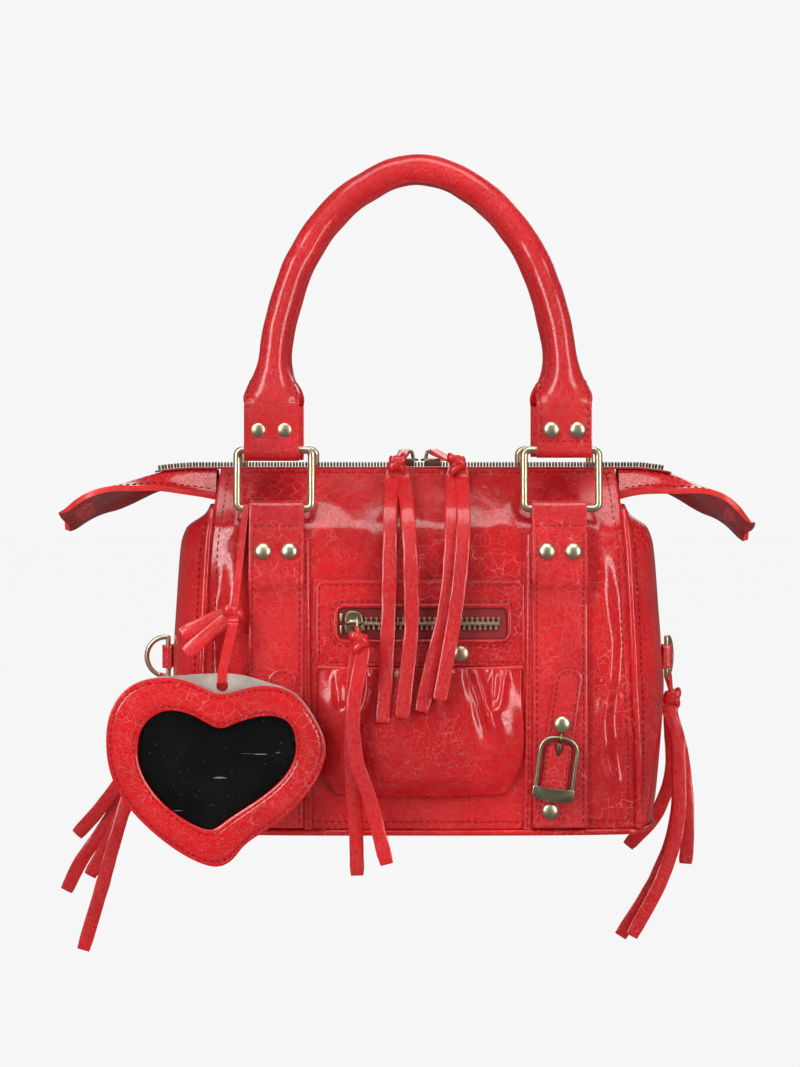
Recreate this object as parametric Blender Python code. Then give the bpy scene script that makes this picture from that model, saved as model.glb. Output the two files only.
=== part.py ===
# A small top-zip handbag with two rolled handles, a gathered front pocket and a heart mirror charm.
# Lengths are in metres. X runs across the bag, -Y is its front and +Z is up.
# The origin is the point where a hand holds both handles.

import math

import bmesh
import bpy
from mathutils import Matrix, Vector

# Clearances shared by every piece
GAP = 0.0003
HINGE_GAP = 0.0004
SEAM_TRIM = 0.0002
LINING_GAP = 0.0021

# Bag body
ZIP_DROP = 0.1382
BODY_HEIGHT = 0.171
SEAM_HALF_WIDTH = 0.104
GUSSET_HALF_WIDTH = 0.119
HALF_DEPTH = 0.050
LEATHER = 0.0018
BASE_THICKNESS = 0.0025
LINING_THICKNESS = 0.0008
BOARD_THICKNESS = 0.0018
HEIGHT_SHARES = (0, 0.17, 0.40, 0.62, 0.78, 0.83, 0.87, 0.93, 1)
SEAM_WIDTH_SHARES = (1, 1, 0.985, 0.97, 0.958, 0.95, 0.94, 0.93, 0.913)
GUSSET_WIDTH_SHARES = (0.955, 0.98, 1, 0.985, 0.965, 0.94, 0.86, 0.83, 0.805)
DEPTH_SHARES = (1, 1, 0.97, 0.90, 0.80, 0.74, 0.64, 0.46, 0.23)
SEAM_DEPTH_SHARES = (0.88, 0.88, 0.87, 0.86, 0.86, 0.87, 0.89, 0.93, 0.98)
GUSSET_TOP_SHARE = 0.895
LINING_TOP_SHARE = 0.95

# Top zip and the two wings that carry its ends
ZIP_TAPE_HALF_WIDTH = 0.0095
ZIP_TAPE_THICKNESS = 0.0008
ZIP_TAPE_SINK = 0.0011
ZIP_TEETH_HALF_WIDTH = 0.0028
ZIP_TEETH_HEIGHT = 0.0024
ZIP_WING_REACH_SHARE = 0.40
WING_HALF_WIDTH = 0.0184
WING_THICKNESS = 0.0028
WING_ROOF = 0.0103
LEFT_WING_LENGTH = 0.075
RIGHT_WING_LENGTH = 0.0645
LEFT_WING_DROOP = 0.0195
RIGHT_WING_DROOP = 0.0250
WING_STATION_SHARES = (0, 0.14, 0.30, 0.45, 0.62, 0.78, 0.90, 0.97, 1)
WING_WIDTH_SHARES = (1, 0.92, 0.90, 0.94, 1, 1, 0.86, 0.62, 0.40)
WING_ROOF_SHARES = (1, 0.70, 0.45, 0.30, 0.15, 0.05, 0, 0, 0)
WING_DROOP_SHARES = (0, 0, 0.04, 0.12, 0.25, 0.46, 0.72, 0.92, 1)

# Straps and the folds that hold the rings
STRAP_CENTRE = 0.067
STRAP_HALF_WIDTH = 0.013
STRAP_THICKNESS = 0.0018
STRAP_BOTTOM_MARGIN = 0.0015
STRAP_LIFT = 0.0012
STRAP_RETURN_LENGTH = 0.030
STRAP_RIVET_BELOW_BAR = 0.018
STRAP_PLATEAU = 0.005
STRAP_SETTLE_LENGTH = 0.007
RING_BAR_DROP = 0.161

# Rectangular rings
RING_CENTRE = 0.0682
RING_WIRE_RADIUS = 0.0018
RING_OUTER_WIDTH = 0.039
RING_OUTER_HEIGHT = 0.0315
RING_CORNER_RADIUS = 0.0045
RING_LEAN = math.radians(5)

# Rivets
RIVET_RADIUS = 0.0040
RIVET_DOME = 0.0022
RIVET_SHANK_RADIUS = 0.0012
RIVET_SPACING = 0.0125
RIVET_HOLE_CLEARANCE = 0.0004
RIVET_PLATE = 0.0009
RIVET_PLATE_LENGTH = 0.017
RIVET_PLATE_WIDTH = 0.005
RIVET_BACK_DOME = 0.0012
CUT_OVERRUN = 0.004

# Rolled handles
HANDLE_CENTRE = 0.0695
HANDLE_HEIGHT = 0.114
HANDLE_RADIUS = 0.0061
HANDLE_LEATHER = 0.0015
HANDLE_TAB_HALF_WIDTH = 0.013
HANDLE_ARC_HALF_LENGTH = 0.0172
HANDLE_APEX_DEPTH = 0.0142
HANDLE_RIVET_ABOVE_BAR = 0.0095
HANDLE_RETURN_LENGTH = 0.0215
CORE_RADIUS = 0.0044
HANDLE_SPAN_SHARES = (1, 1, 0.985, 0.925, 0.82, 0.64, 0.36, 0)
HANDLE_CLIMB_SHARES = (0, 0.09, 0.24, 0.42, 0.60, 0.775, 0.925, 1)
HANDLE_ROLL_SHARES = (0, 0.45, 1, 1, 1, 1, 1, 1)

# Front pocket
POCKET_CENTRE = 0.001
POCKET_HALF_WIDTH = 0.049
POCKET_TOP_DROP = 0.192
POCKET_BASE_MARGIN = 0.0182
POCKET_BAND_SHARE = 0.404
WINDOW_SHARE = 0.2
POCKET_LEATHER = 0.0016
POCKET_SEAT = 0.0006
POCKET_BULGE = 0.0115
WINDOW_CENTRE = 0.0022
WINDOW_WIDTH = 0.082
WINDOW_HEIGHT = 0.0166
WINDOW_CORNER = 0.004
POUCH_WIDTH_SHARES = (0.97, 0.975, 0.985, 1, 0.99, 0.94, 0.80)
POUCH_BULGE_SHARES = (0.22, 0.50, 0.74, 0.92, 1, 0.86, 0.02)
POCKET_RIVET_SHARE = 0.388

# Tabs with buckles on the front straps
TAB_HALF_WIDTH = 0.0064
TAB_THICKNESS = 0.0014
TAB_BASE_MARGIN = 0.0027
TAB_TOP_SHIFT = 0.004
TAB_BOTTOM_SHIFT = -0.006
LOWER_RIVET_ABOVE_END = 0.0068
BUCKLE_ABOVE_RIVET = 0.0082
BUCKLE_LENGTH = 0.0261
TAB_RIVET_ABOVE_BUCKLE = 0.0064
TAB_END_ABOVE_RIVET = 0.0260
BUCKLE_HALF_WIDTH = 0.0088
BUCKLE_WIRE_RADIUS = 0.0011
BUCKLE_BAR_HEIGHT = 0.0062
BUCKLE_BAR_THICKNESS = 0.0016
BUCKLE_LIFT = 0.0016
PRONG_RADIUS = 0.0007
PRONG_LENGTH = 0.0085
PRONG_SLOT_HALF_WIDTH = 0.0013

# Zip sliders
SLIDER_LENGTH = 0.0122
SLIDER_HALF_WIDTH = 0.0047
POCKET_SLIDER_LENGTH = 0.0086
POCKET_SLIDER_HALF_WIDTH = 0.0060
SLIDER_PLATE = 0.0012
SLIDER_MEETING = 0.001
SLIDER_APART = 0.0006
CROWN_HALF_LENGTH = 0.0036
CROWN_HEIGHT = 0.0034
CROWN_WIRE_RADIUS = 0.0008
POCKET_SLIDER_INSET = 0.0085
PULL_RING_RADIUS = 0.0037
PULL_RING_WIRE_RADIUS = 0.00055
PULL_RING_SHIFT = 0.0018
PULL_RING_DROOP = math.radians(35)
LACE_ON_RING = math.radians(35)

# Laces, their knots and tails
LACE_THICKNESS = 0.0011
LACE_WIDTH = 0.0068
LOOP_WIDTH = 0.0036
NARROW_LOOP_WIDTH = 0.0022
TASSEL_ON_RING = math.radians(-72)
KNOT_RADIUS = 0.0044
KNOT_SQUASH_SHARE = 0.85

# Rings at the bag's sides
D_RING_DROP = 0.2305
D_RING_RADIUS = 0.0100
D_RING_STRETCH = 1.05
D_RING_WIRE_RADIUS = 0.0012
D_TAB_HEIGHT = 0.0112
D_TAB_REACH = 0.0100
D_TAB_LEATHER = 0.0014
RIGHT_D_RING_TURN = math.radians(72)

# Heart charm
HEART_HALF_WIDTH = 0.0521
HEART_HEIGHT = 0.0902
HEART_TIP_ACROSS = 0.0939
HEART_TIP_DROP = 0.3254
HEART_BACK_DEPTH = 0.0600
HEART_BACK_THICKNESS = 0.0016
HEART_MIRROR_THICKNESS = 0.0016
HEART_FRAME_THICKNESS = 0.0024
HEART_MIRROR_LAP = 0.0030
HEART_HOLE_RADIUS = 0.0028
HEART_HOLE_SHARES = (0.045, 0.948)
HEART_STEPS = 20
HEART_CLEFT_SHARES = (0.036, 0.897)
HEART_RIGHT_SHARES = (
    (0.24, 0.938),
    (0.446, 0.959),
    (0.688, 0.923),
    (0.84, 0.814),
    (0.991, 0.639),
    (0.929, 0.50),
    (0.768, 0.361),
    (0.504, 0.222),
    (0.241, 0.134),
    (0.150, 0.05),
)
HEART_LEFT_SHARES = (
    (-0.125, 0.943),
    (-0.277, 0.985),
    (-0.50, 1),
    (-0.759, 0.964),
    (-0.911, 0.876),
    (-0.995, 0.727),
    (-0.985, 0.557),
    (-0.88, 0.392),
    (-0.688, 0.253),
    (-0.429, 0.124),
    (-0.205, 0.045),
)
BACK_CLEFT_SHARES = (0.05, 1.015)
BACK_RIGHT_SHARES = ((0.24, 1.005), (0.446, 0.965)) + HEART_RIGHT_SHARES[2:]
BACK_LEFT_SHARES = ((-0.125, 1.01), (-0.277, 1.003)) + HEART_LEFT_SHARES[2:]
MIRROR_CLEFT_SHARES = (0.036, 0.722)
MIRROR_RIGHT_SHARES = (
    (0.205, 0.768),
    (0.429, 0.799),
    (0.58, 0.789),
    (0.688, 0.727),
    (0.714, 0.619),
    (0.634, 0.50),
    (0.393, 0.371),
    (0.098, 0.263),
)
MIRROR_LEFT_SHARES = (
    (-0.089, 0.758),
    (-0.241, 0.809),
    (-0.429, 0.830),
    (-0.589, 0.791),
    (-0.696, 0.706),
    (-0.714, 0.588),
    (-0.652, 0.469),
    (-0.482, 0.340),
    (-0.277, 0.253),
)
MIRROR_TIP_SHARES = (-0.054, 0.186)

# Tails of the laces: each point across, forwards and down, as shares of the tail's length.
# The zip pulls' points count across and down from the slider's bar and forwards from the front panel.
TOP_PULL_LENGTH = 0.126
POCKET_PULL_LENGTH = 0.115
SIDE_TASSEL_LENGTH = 0.132
CHARM_TAIL_LENGTH = 0.030
LEFT_PULL_SHARES = (
    (
        (-0.050, 0.054, 0.087),
        (-0.058, 0.066, 0.233),
        (-0.062, 0.063, 0.432),
        (-0.066, 0.063, 0.614),
        (-0.074, 0.072, 0.805),
        (-0.086, 0.104, 1.003),
    ),
    (
        (-0.014, 0.054, 0.087),
        (0.006, 0.082, 0.233),
        (0.017, 0.083, 0.432),
        (0.021, 0.083, 0.614),
        (0.006, 0.096, 0.805),
        (-0.014, 0.125, 0.983),
    ),
)
RIGHT_PULL_SHARES = (
    (
        (0.074, 0.046, 0.087),
        (0.066, 0.066, 0.233),
        (0.058, 0.063, 0.432),
        (0.034, 0.063, 0.614),
        (-0.006, 0.075, 0.773),
        (-0.049, 0.102, 0.963),
    ),
    (
        (0.106, 0.054, 0.087),
        (0.110, 0.082, 0.233),
        (0.098, 0.083, 0.432),
        (0.074, 0.087, 0.614),
        (0.042, 0.105, 0.789),
        (0.018, 0.129, 0.916),
    ),
)
POCKET_PULL_SHARES = (
    (
        (0.022, 0.168, 0.090),
        (0.001, 0.171, 0.212),
        (-0.017, 0.177, 0.351),
        (-0.004, 0.184, 0.507),
        (0.053, 0.191, 0.681),
        (0.122, 0.200, 0.942),
    ),
    (
        (0.001, 0.155, 0.090),
        (-0.017, 0.148, 0.247),
        (-0.021, 0.144, 0.438),
        (-0.017, 0.146, 0.620),
        (-0.004, 0.150, 0.794),
        (0.001, 0.152, 0.994),
    ),
)
LEFT_TASSEL_SHARES = (
    (
        (0.022, 0.023, 0.136),
        (0.063, 0.045, 0.273),
        (0.116, 0.068, 0.424),
        (0.162, 0.083, 0.576),
        (0.207, 0.095, 0.742),
        (0.283, 0.106, 1),
    ),
    (
        (0.025, -0.023, 0.136),
        (0.078, -0.045, 0.288),
        (0.139, -0.061, 0.424),
        (0.215, -0.076, 0.561),
        (0.313, -0.083, 0.704),
        (0.366, -0.091, 0.811),
    ),
)
RIGHT_TASSEL_SHARES = (
    (
        (0.008, 0.008, 0.136),
        (0.035, 0.069, 0.250),
        (0.035, 0.114, 0.424),
        (0.020, 0.145, 0.561),
        (-0.033, 0.167, 0.727),
        (-0.147, 0.190, 0.939),
    ),
    (
        (0.016, -0.037, 0.136),
        (0.046, -0.022, 0.257),
        (0.065, -0.007, 0.379),
        (0.073, 0.008, 0.492),
        (0.073, 0.016, 0.598),
        (0.065, 0.023, 0.697),
    ),
)
CHARM_TAIL_SHARES = (
    ((0.050, -0.033, -0.017), (0.317, -0.033, 0.067), (0.567, -0.033, 0.183), (0.817, -0.033, 0.317)),
    ((0.083, 0.050, 0.050), (0.283, 0.067, 0.200), (0.517, 0.083, 0.400), (0.750, 0.100, 0.600)),
)
CHARM_KNOT_SHARES = (0.492, 0.708, 0.600)
CHARM_FACE_SHARES = (0, -1, 0.3)

SEGMENTS_ROUND = 10
FRONT_COLUMNS = 10
SIDE_COLUMNS = 6
WALL_ROWS = 11
SEGMENTS_FINE = 16
HANDLE_COLUMNS = 6
HANDLE_STATIONS = 12
FOLD_STEPS = 4

RED = (0.60, 0.012, 0.016)
DARK_RED = (0.42, 0.008, 0.012)
TAPE_RED = (0.30, 0.010, 0.014)
BRASS = (0.42, 0.34, 0.18)
DARK_BRASS = (0.13, 0.11, 0.07)
MIRROR = (0.02, 0.02, 0.022)
SUEDE = (0.42, 0.38, 0.33)
BOARD = (0.24, 0.19, 0.13)
CLOTH = (0.05, 0.05, 0.055)


def clear_scene():
    for old in list(bpy.data.objects):
        bpy.data.objects.remove(old, do_unlink=True)


def make_material(name, colour, roughness, metallic):
    material = bpy.data.materials.new(name)
    material.use_nodes = True
    shader = material.node_tree.nodes["Principled BSDF"]
    shader.inputs["Base Color"].default_value = (*colour, 1)
    shader.inputs["Roughness"].default_value = roughness
    shader.inputs["Metallic"].default_value = metallic
    material.diffuse_color = (*colour, 1)
    return material


def add_object(name, shape, material, joint=None):
    """Makes the shape an object in world places, hung on the joint's empty if there is one."""
    bmesh.ops.recalc_face_normals(shape, faces=shape.faces)
    mesh = bpy.data.meshes.new(name)
    shape.to_mesh(mesh)
    shape.free()
    mesh.shade_smooth()
    mesh.set_sharp_from_angle(angle=math.radians(35))
    mesh.materials.append(material)
    made = bpy.data.objects.new(name, mesh)
    bpy.context.scene.collection.objects.link(made)
    if joint:
        mesh.transform(Matrix.Translation(-joint.location))
        made.parent = joint
    return made


def add_joint(name, place):
    empty = bpy.data.objects.new(name, None)
    empty.location = place
    bpy.context.scene.collection.objects.link(empty)
    return empty


def loft(rings, closed=True):
    """A solid through rings of equally many points, capped at both ends unless it closes on itself."""
    shape = bmesh.new()
    made = [[shape.verts.new(point) for point in ring] for ring in rings]
    count = len(made[0])
    steps = len(made) if not closed else len(made) - 1
    for step in range(steps):
        low = made[step]
        high = made[(step + 1) % len(made)]
        for i in range(count):
            j = (i + 1) % count
            shape.faces.new((low[i], low[j], high[j], high[i]))
    if closed:
        shape.faces.new(made[0])
        shape.faces.new(made[-1])
    return shape


def sheet(outer, inner):
    """A solid between two grids of rows, closed round its rim."""
    shape = bmesh.new()
    front = [[shape.verts.new(point) for point in row] for row in outer]
    back = [[shape.verts.new(point) for point in row] for row in inner]
    rows = len(front)
    columns = len(front[0])
    for grid in (front, back):
        for r in range(rows - 1):
            for c in range(columns - 1):
                shape.faces.new((grid[r][c], grid[r][c + 1], grid[r + 1][c + 1], grid[r + 1][c]))
    rim = [(0, c) for c in range(columns)]
    rim += [(r, columns - 1) for r in range(1, rows)]
    rim += [(rows - 1, c) for c in range(columns - 2, -1, -1)]
    rim += [(r, 0) for r in range(rows - 2, 0, -1)]
    for i, (r, c) in enumerate(rim):
        next_r, next_c = rim[(i + 1) % len(rim)]
        shape.faces.new((front[r][c], front[next_r][next_c], back[next_r][next_c], back[r][c]))
    return shape


def union(shape, other):
    """Adds the other solid to the shape with an exact Boolean, and returns one mesh."""
    return combine(shape, other, "UNION")


def combine(shape, other, operation):
    base = add_object("base_shape", shape, bpy.data.materials[0])
    tool = add_object("tool_shape", other, bpy.data.materials[0])
    step = base.modifiers.new("combine", "BOOLEAN")
    step.operation = operation
    step.object = tool
    bpy.context.view_layer.update()
    graph = bpy.context.evaluated_depsgraph_get()
    result = bmesh.new()
    result.from_object(base, graph)
    bpy.data.objects.remove(base, do_unlink=True)
    bpy.data.objects.remove(tool, do_unlink=True)
    return result


def cylinder_between(start, end, radius, segments=SEGMENTS_ROUND):
    start = Vector(start)
    end = Vector(end)
    axis = (end - start).normalized()
    side = axis.orthogonal().normalized()
    other = axis.cross(side)
    rings = []
    for centre in (start, end):
        ring = []
        for i in range(segments):
            angle = 2 * math.pi * i / segments
            ring.append(centre + radius * (math.cos(angle) * side + math.sin(angle) * other))
        rings.append(ring)
    return loft(rings)


def turned(start, axis, profile, segments=SEGMENTS_ROUND):
    """A turned solid: the profile lists (distance along the axis, radius) from one flat end to the other."""
    axis = Vector(axis).normalized()
    side = axis.orthogonal().normalized()
    other = axis.cross(side)
    rings = []
    for along, radius in profile:
        centre = Vector(start) + along * axis
        ring = []
        for i in range(segments):
            angle = 2 * math.pi * i / segments
            ring.append(centre + radius * (math.cos(angle) * side + math.sin(angle) * other))
        rings.append(ring)
    return loft(rings)


def interpolate(positions, values, at):
    """A smooth curve through the values, without overshoot at flat stretches."""
    last = len(positions) - 1
    at = min(max(at, positions[0]), positions[last])
    index = 0
    while index < last - 1 and at > positions[index + 1]:
        index += 1
    slopes = [(values[i + 1] - values[i]) / (positions[i + 1] - positions[i]) for i in range(last)]

    def tangent(i):
        if i == 0:
            return slopes[0]
        if i == last:
            return slopes[last - 1]
        before = slopes[i - 1]
        after = slopes[i]
        if before * after <= 0:
            return 0
        return 2 * before * after / (before + after)

    width = positions[index + 1] - positions[index]
    t = (at - positions[index]) / width
    start = values[index]
    end = values[index + 1]
    return (
        start * (2 * t**3 - 3 * t**2 + 1)
        + end * (3 * t**2 - 2 * t**3)
        + tangent(index) * width * (t**3 - 2 * t**2 + t)
        + tangent(index + 1) * width * (t**3 - t**2)
    )


BODY_TOP = -ZIP_DROP
WALL_BOTTOM = BODY_TOP - BODY_HEIGHT
BASE_BOTTOM = WALL_BOTTOM - GAP - BASE_THICKNESS
TAB_BOTTOM_DROP = -WALL_BOTTOM - TAB_BASE_MARGIN
LOWER_RIVET_DROP = TAB_BOTTOM_DROP - LOWER_RIVET_ABOVE_END
BUCKLE_BOTTOM_DROP = LOWER_RIVET_DROP - BUCKLE_ABOVE_RIVET
BUCKLE_TOP_DROP = BUCKLE_BOTTOM_DROP - BUCKLE_LENGTH
TAB_RIVET_DROP = BUCKLE_TOP_DROP - TAB_RIVET_ABOVE_BUCKLE
TAB_TOP_DROP = TAB_RIVET_DROP - TAB_END_ABOVE_RIVET
POCKET_BOTTOM_DROP = -WALL_BOTTOM - POCKET_BASE_MARGIN
POCKET_HEIGHT = POCKET_BOTTOM_DROP - POCKET_TOP_DROP
POCKET_BAND_DROP = POCKET_TOP_DROP + POCKET_BAND_SHARE * POCKET_HEIGHT
WINDOW_DROP = POCKET_TOP_DROP + WINDOW_SHARE * POCKET_HEIGHT


def share_at(z):
    return (z - WALL_BOTTOM) / BODY_HEIGHT


def plan_sizes(up):
    """Half widths at the seam and the gusset, half depths at the middle and the seam, at one height."""
    seam = SEAM_HALF_WIDTH * interpolate(HEIGHT_SHARES, SEAM_WIDTH_SHARES, up)
    gusset = GUSSET_HALF_WIDTH * interpolate(HEIGHT_SHARES, GUSSET_WIDTH_SHARES, up)
    depth = HALF_DEPTH * interpolate(HEIGHT_SHARES, DEPTH_SHARES, up)
    seam_depth = depth * interpolate(HEIGHT_SHARES, SEAM_DEPTH_SHARES, up)
    return seam, gusset, depth, seam_depth


def front_point(across, up, facing=-1):
    seam, gusset, depth, seam_depth = plan_sizes(up)
    y = seam_depth + (depth - seam_depth) * (1 - across**4)
    return Vector((seam * across, facing * y, WALL_BOTTOM + BODY_HEIGHT * up))


def gusset_point(along, up, side=1):
    seam, gusset, depth, seam_depth = plan_sizes(up)
    x = seam + (gusset - seam) * (1 - abs(along) ** 2.5)
    return Vector((side * x, seam_depth * along, WALL_BOTTOM + BODY_HEIGHT * up))


def surface_normal(place, across, up, outward):
    """The unit normal of a surface function, pointing to the same side as outward."""
    step = 0.002
    low = max(up - step, 0)
    high = min(up + step, 1)
    left = place(max(across - step, -1), up)
    right = place(min(across + step, 1), up)
    normal = (right - left).cross(place(across, high) - place(across, low)).normalized()
    return normal if normal.dot(outward) > 0 else -normal


def front_normal(across, up, facing=-1):
    return surface_normal(lambda a, h: front_point(a, h, facing), across, up, Vector((0, facing, 0)))


def gusset_normal(along, up, side=1):
    return surface_normal(lambda a, h: gusset_point(a, h, side), along, up, Vector((side, 0, 0)))


def seam_normal(up, side, facing):
    return (front_normal(side, up, facing) + gusset_normal(facing, up, side)).normalized()


def on_front(x, z, facing=-1):
    """The place and normal of the front or back panel at x and z."""
    up = share_at(z)
    across = x / plan_sizes(up)[0]
    return front_point(across, up, facing), front_normal(across, up, facing)


def seam_limits(columns, half_width):
    """Evenly spaced shares across a panel, trimmed at both seams."""
    reach = 1 - SEAM_TRIM / half_width
    return [reach * (2 * i / columns - 1) for i in range(columns + 1)]


def make_wall(place, normal, end_normal, half_width, top_share, columns, rows):
    """One leather wall of the body between its seams, from the base up to top_share."""
    outer = []
    inner = []
    for r in range(rows + 1):
        up = top_share * r / rows
        outer_row = []
        inner_row = []
        for i, across in enumerate(seam_limits(columns, half_width(up))):
            point = place(across, up)
            if i in (0, columns):
                facing = end_normal(up, 1 if across > 0 else -1)
            else:
                facing = normal(across, up)
            outer_row.append(point)
            inner_row.append(point - LEATHER * facing)
        outer.append(outer_row)
        inner.append(inner_row)
    return sheet(outer, inner)


def plan_loop(up, inset, columns=FRONT_COLUMNS, side_columns=SIDE_COLUMNS):
    """The closed outline of the body at a share of the height, moved inwards by inset."""
    points = []
    for i in range(columns):
        across = 2 * i / columns - 1
        facing = seam_normal(up, -1, -1) if i == 0 else front_normal(across, up, -1)
        points.append(front_point(across, up, -1) - inset * facing)
    for i in range(side_columns):
        along = 2 * i / side_columns - 1
        facing = seam_normal(up, 1, -1) if i == 0 else gusset_normal(along, up, 1)
        points.append(gusset_point(along, up, 1) - inset * facing)
    for i in range(columns):
        across = 1 - 2 * i / columns
        facing = seam_normal(up, 1, 1) if i == 0 else front_normal(across, up, 1)
        points.append(front_point(across, up, 1) - inset * facing)
    for i in range(side_columns):
        along = 1 - 2 * i / side_columns
        facing = seam_normal(up, -1, 1) if i == 0 else gusset_normal(along, up, -1)
        points.append(gusset_point(along, up, -1) - inset * facing)
    return points


def at_height(points, z):
    return [Vector((point.x, point.y, z)) for point in points]


def make_lining():
    """A thin bag inside the leather, open at the top, standing on the base board."""
    outside = LEATHER + LINING_GAP
    inside = outside + LINING_THICKNESS
    floor = WALL_BOTTOM + BOARD_THICKNESS + GAP
    start = share_at(floor + LINING_THICKNESS)
    shares = [start]
    shares += [GUSSET_TOP_SHARE * r / WALL_ROWS for r in range(1, WALL_ROWS + 1)]
    shares.append(LINING_TOP_SHARE)
    outer = [at_height(plan_loop(start, outside), floor)]
    outer += [plan_loop(up, outside) for up in shares]
    inner = [plan_loop(up, inside) for up in reversed(shares)]
    rings = outer + inner
    return loft(rings)


def make_base_and_board():
    outline = plan_loop(0, 0)
    base = loft([at_height(outline, BASE_BOTTOM), at_height(outline, BASE_BOTTOM + BASE_THICKNESS)])
    inner = plan_loop(0, LEATHER + LINING_GAP)
    board = loft([at_height(inner, WALL_BOTTOM), at_height(inner, WALL_BOTTOM + BOARD_THICKNESS)])
    return base, board


def wing_root():
    return plan_sizes(HEIGHT_SHARES[7])[0] + GAP


def ridge_height(x):
    """The height of the line that the zip tape lies on, along the body and out over the wings."""
    side_length = LEFT_WING_LENGTH if x < 0 else RIGHT_WING_LENGTH
    droop = LEFT_WING_DROOP if x < 0 else RIGHT_WING_DROOP
    along = max(abs(x) - wing_root(), 0) / side_length
    return BODY_TOP - ZIP_TAPE_SINK - droop * interpolate(WING_STATION_SHARES, WING_DROOP_SHARES, along)


def make_wing(side):
    length = LEFT_WING_LENGTH if side < 0 else RIGHT_WING_LENGTH
    flat_share = 0.56
    across_shares = (-1, -0.8, -flat_share, 0, flat_share, 0.8, 1)
    rings = []
    for along in WING_STATION_SHARES:
        x = side * (wing_root() + along * length)
        half_width = WING_HALF_WIDTH * interpolate(WING_STATION_SHARES, WING_WIDTH_SHARES, along)
        roof = WING_ROOF * interpolate(WING_STATION_SHARES, WING_ROOF_SHARES, along)
        top = []
        for across in across_shares:
            fall = roof * max(abs(across) - flat_share, 0) / (1 - flat_share)
            top.append(Vector((x, across * half_width, ridge_height(x) - fall)))
        bottom = [point - Vector((0, 0, WING_THICKNESS)) for point in reversed(top)]
        rings.append(top + bottom)
    return loft(rings)


def make_zip_strip(half_width, lift, height):
    """A strip along the zip from wing to wing, lifted off the line that the tape lies on."""
    ends = []
    for side, length in ((-1, LEFT_WING_LENGTH), (1, RIGHT_WING_LENGTH)):
        reach = ZIP_WING_REACH_SHARE * length
        ends.append([side * (wing_root() + reach * i / 6) for i in range(7)])
    rings = []
    for x in list(reversed(ends[0])) + ends[1]:
        low = ridge_height(x) + lift
        rings.append(
            [
                Vector((x, -half_width, low)),
                Vector((x, half_width, low)),
                Vector((x, half_width, low + height)),
                Vector((x, -half_width, low + height)),
            ]
        )
    return loft(rings)


def make_body(leather, dark_leather, tape, metal, board, cloth):
    for name, facing in (("front_panel", -1), ("back_panel", 1)):
        wall = make_wall(
            lambda across, up: front_point(across, up, facing),
            lambda across, up: front_normal(across, up, facing),
            lambda up, side: seam_normal(up, side, facing),
            lambda up: plan_sizes(up)[0],
            1,
            FRONT_COLUMNS,
            WALL_ROWS,
        )
        add_object(name, wall, leather)
    for name, side in (("left_gusset", -1), ("right_gusset", 1)):
        wall = make_wall(
            lambda along, up: gusset_point(along, up, side),
            lambda along, up: gusset_normal(along, up, side),
            lambda up, facing: seam_normal(up, side, facing),
            lambda up: plan_sizes(up)[3],
            GUSSET_TOP_SHARE,
            SIDE_COLUMNS,
            WALL_ROWS,
        )
        add_object(name, wall, leather)
    base, stiffener = make_base_and_board()
    add_object("base_panel", base, leather)
    add_object("base_board", stiffener, board)
    add_object("lining", make_lining(), cloth)
    add_object("left_wing", make_wing(-1), leather)
    add_object("right_wing", make_wing(1), leather)
    add_object("top_zip_tape", make_zip_strip(ZIP_TAPE_HALF_WIDTH, GAP, ZIP_TAPE_THICKNESS), tape)
    teeth_lift = ZIP_TAPE_THICKNESS + 2 * GAP
    add_object("top_zip_teeth", make_zip_strip(ZIP_TEETH_HALF_WIDTH, teeth_lift, ZIP_TEETH_HEIGHT), metal)


def strip_solid(stations):
    """A strip through stations, each a row of points on one face and a row on the other."""
    return loft([list(one) + list(reversed(other)) for one, other in stations])


def ring_bar(facing):
    """The centre of a ring's lower bar, with the panel's normal and its upward tangent there."""
    place, normal = on_front(STRAP_CENTRE, -RING_BAR_DROP, facing)
    normal = Vector((0, normal.y, normal.z)).normalized()
    upward = Vector((0, -normal.z * facing, normal.y * facing)).normalized()
    offset = GAP + STRAP_LIFT + STRAP_THICKNESS + HINGE_GAP + RING_WIRE_RADIUS
    bar = Vector((0, place.y, place.z)) + offset * normal
    return bar, normal, upward


def ring_lean(facing):
    return Vector((0, -facing * math.sin(RING_LEAN), math.cos(RING_LEAN)))


def ring_top_bar(facing):
    return ring_bar(facing)[0] + (RING_OUTER_HEIGHT - 2 * RING_WIRE_RADIUS) * ring_lean(facing)


def closed_tube(path, radius, plane_normal, segments):
    """A wire of round section along a closed flat path."""
    rings = []
    count = len(path)
    for i in range(count):
        tangent = (path[(i + 1) % count] - path[i - 1]).normalized()
        side = plane_normal.cross(tangent).normalized()
        ring = []
        for j in range(segments):
            angle = 2 * math.pi * j / segments
            ring.append(path[i] + radius * (math.cos(angle) * side + math.sin(angle) * plane_normal))
        rings.append(ring)
    return loft(rings, closed=False)


def make_rectangular_ring(side, facing):
    lean = ring_lean(facing)
    across = Vector((1, 0, 0))
    half_width = RING_OUTER_WIDTH / 2 - RING_WIRE_RADIUS
    height = RING_OUTER_HEIGHT - 2 * RING_WIRE_RADIUS
    corner = RING_CORNER_RADIUS - RING_WIRE_RADIUS
    centre = ring_bar(facing)[0] + Vector((side * RING_CENTRE, 0, 0))
    path = []
    for sign, level, start in ((1, 0, -90), (1, 1, 0), (-1, 1, 90), (-1, 0, 180)):
        along = sign * (half_width - corner)
        up = corner if level == 0 else height - corner
        for step in range(4):
            angle = math.radians(start + 30 * step)
            x = along + corner * math.cos(angle)
            h = up + corner * math.sin(angle)
            path.append(centre + x * across + h * lean)
    return closed_tube(path, RING_WIRE_RADIUS, across.cross(lean).normalized(), SEGMENTS_ROUND)


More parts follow.
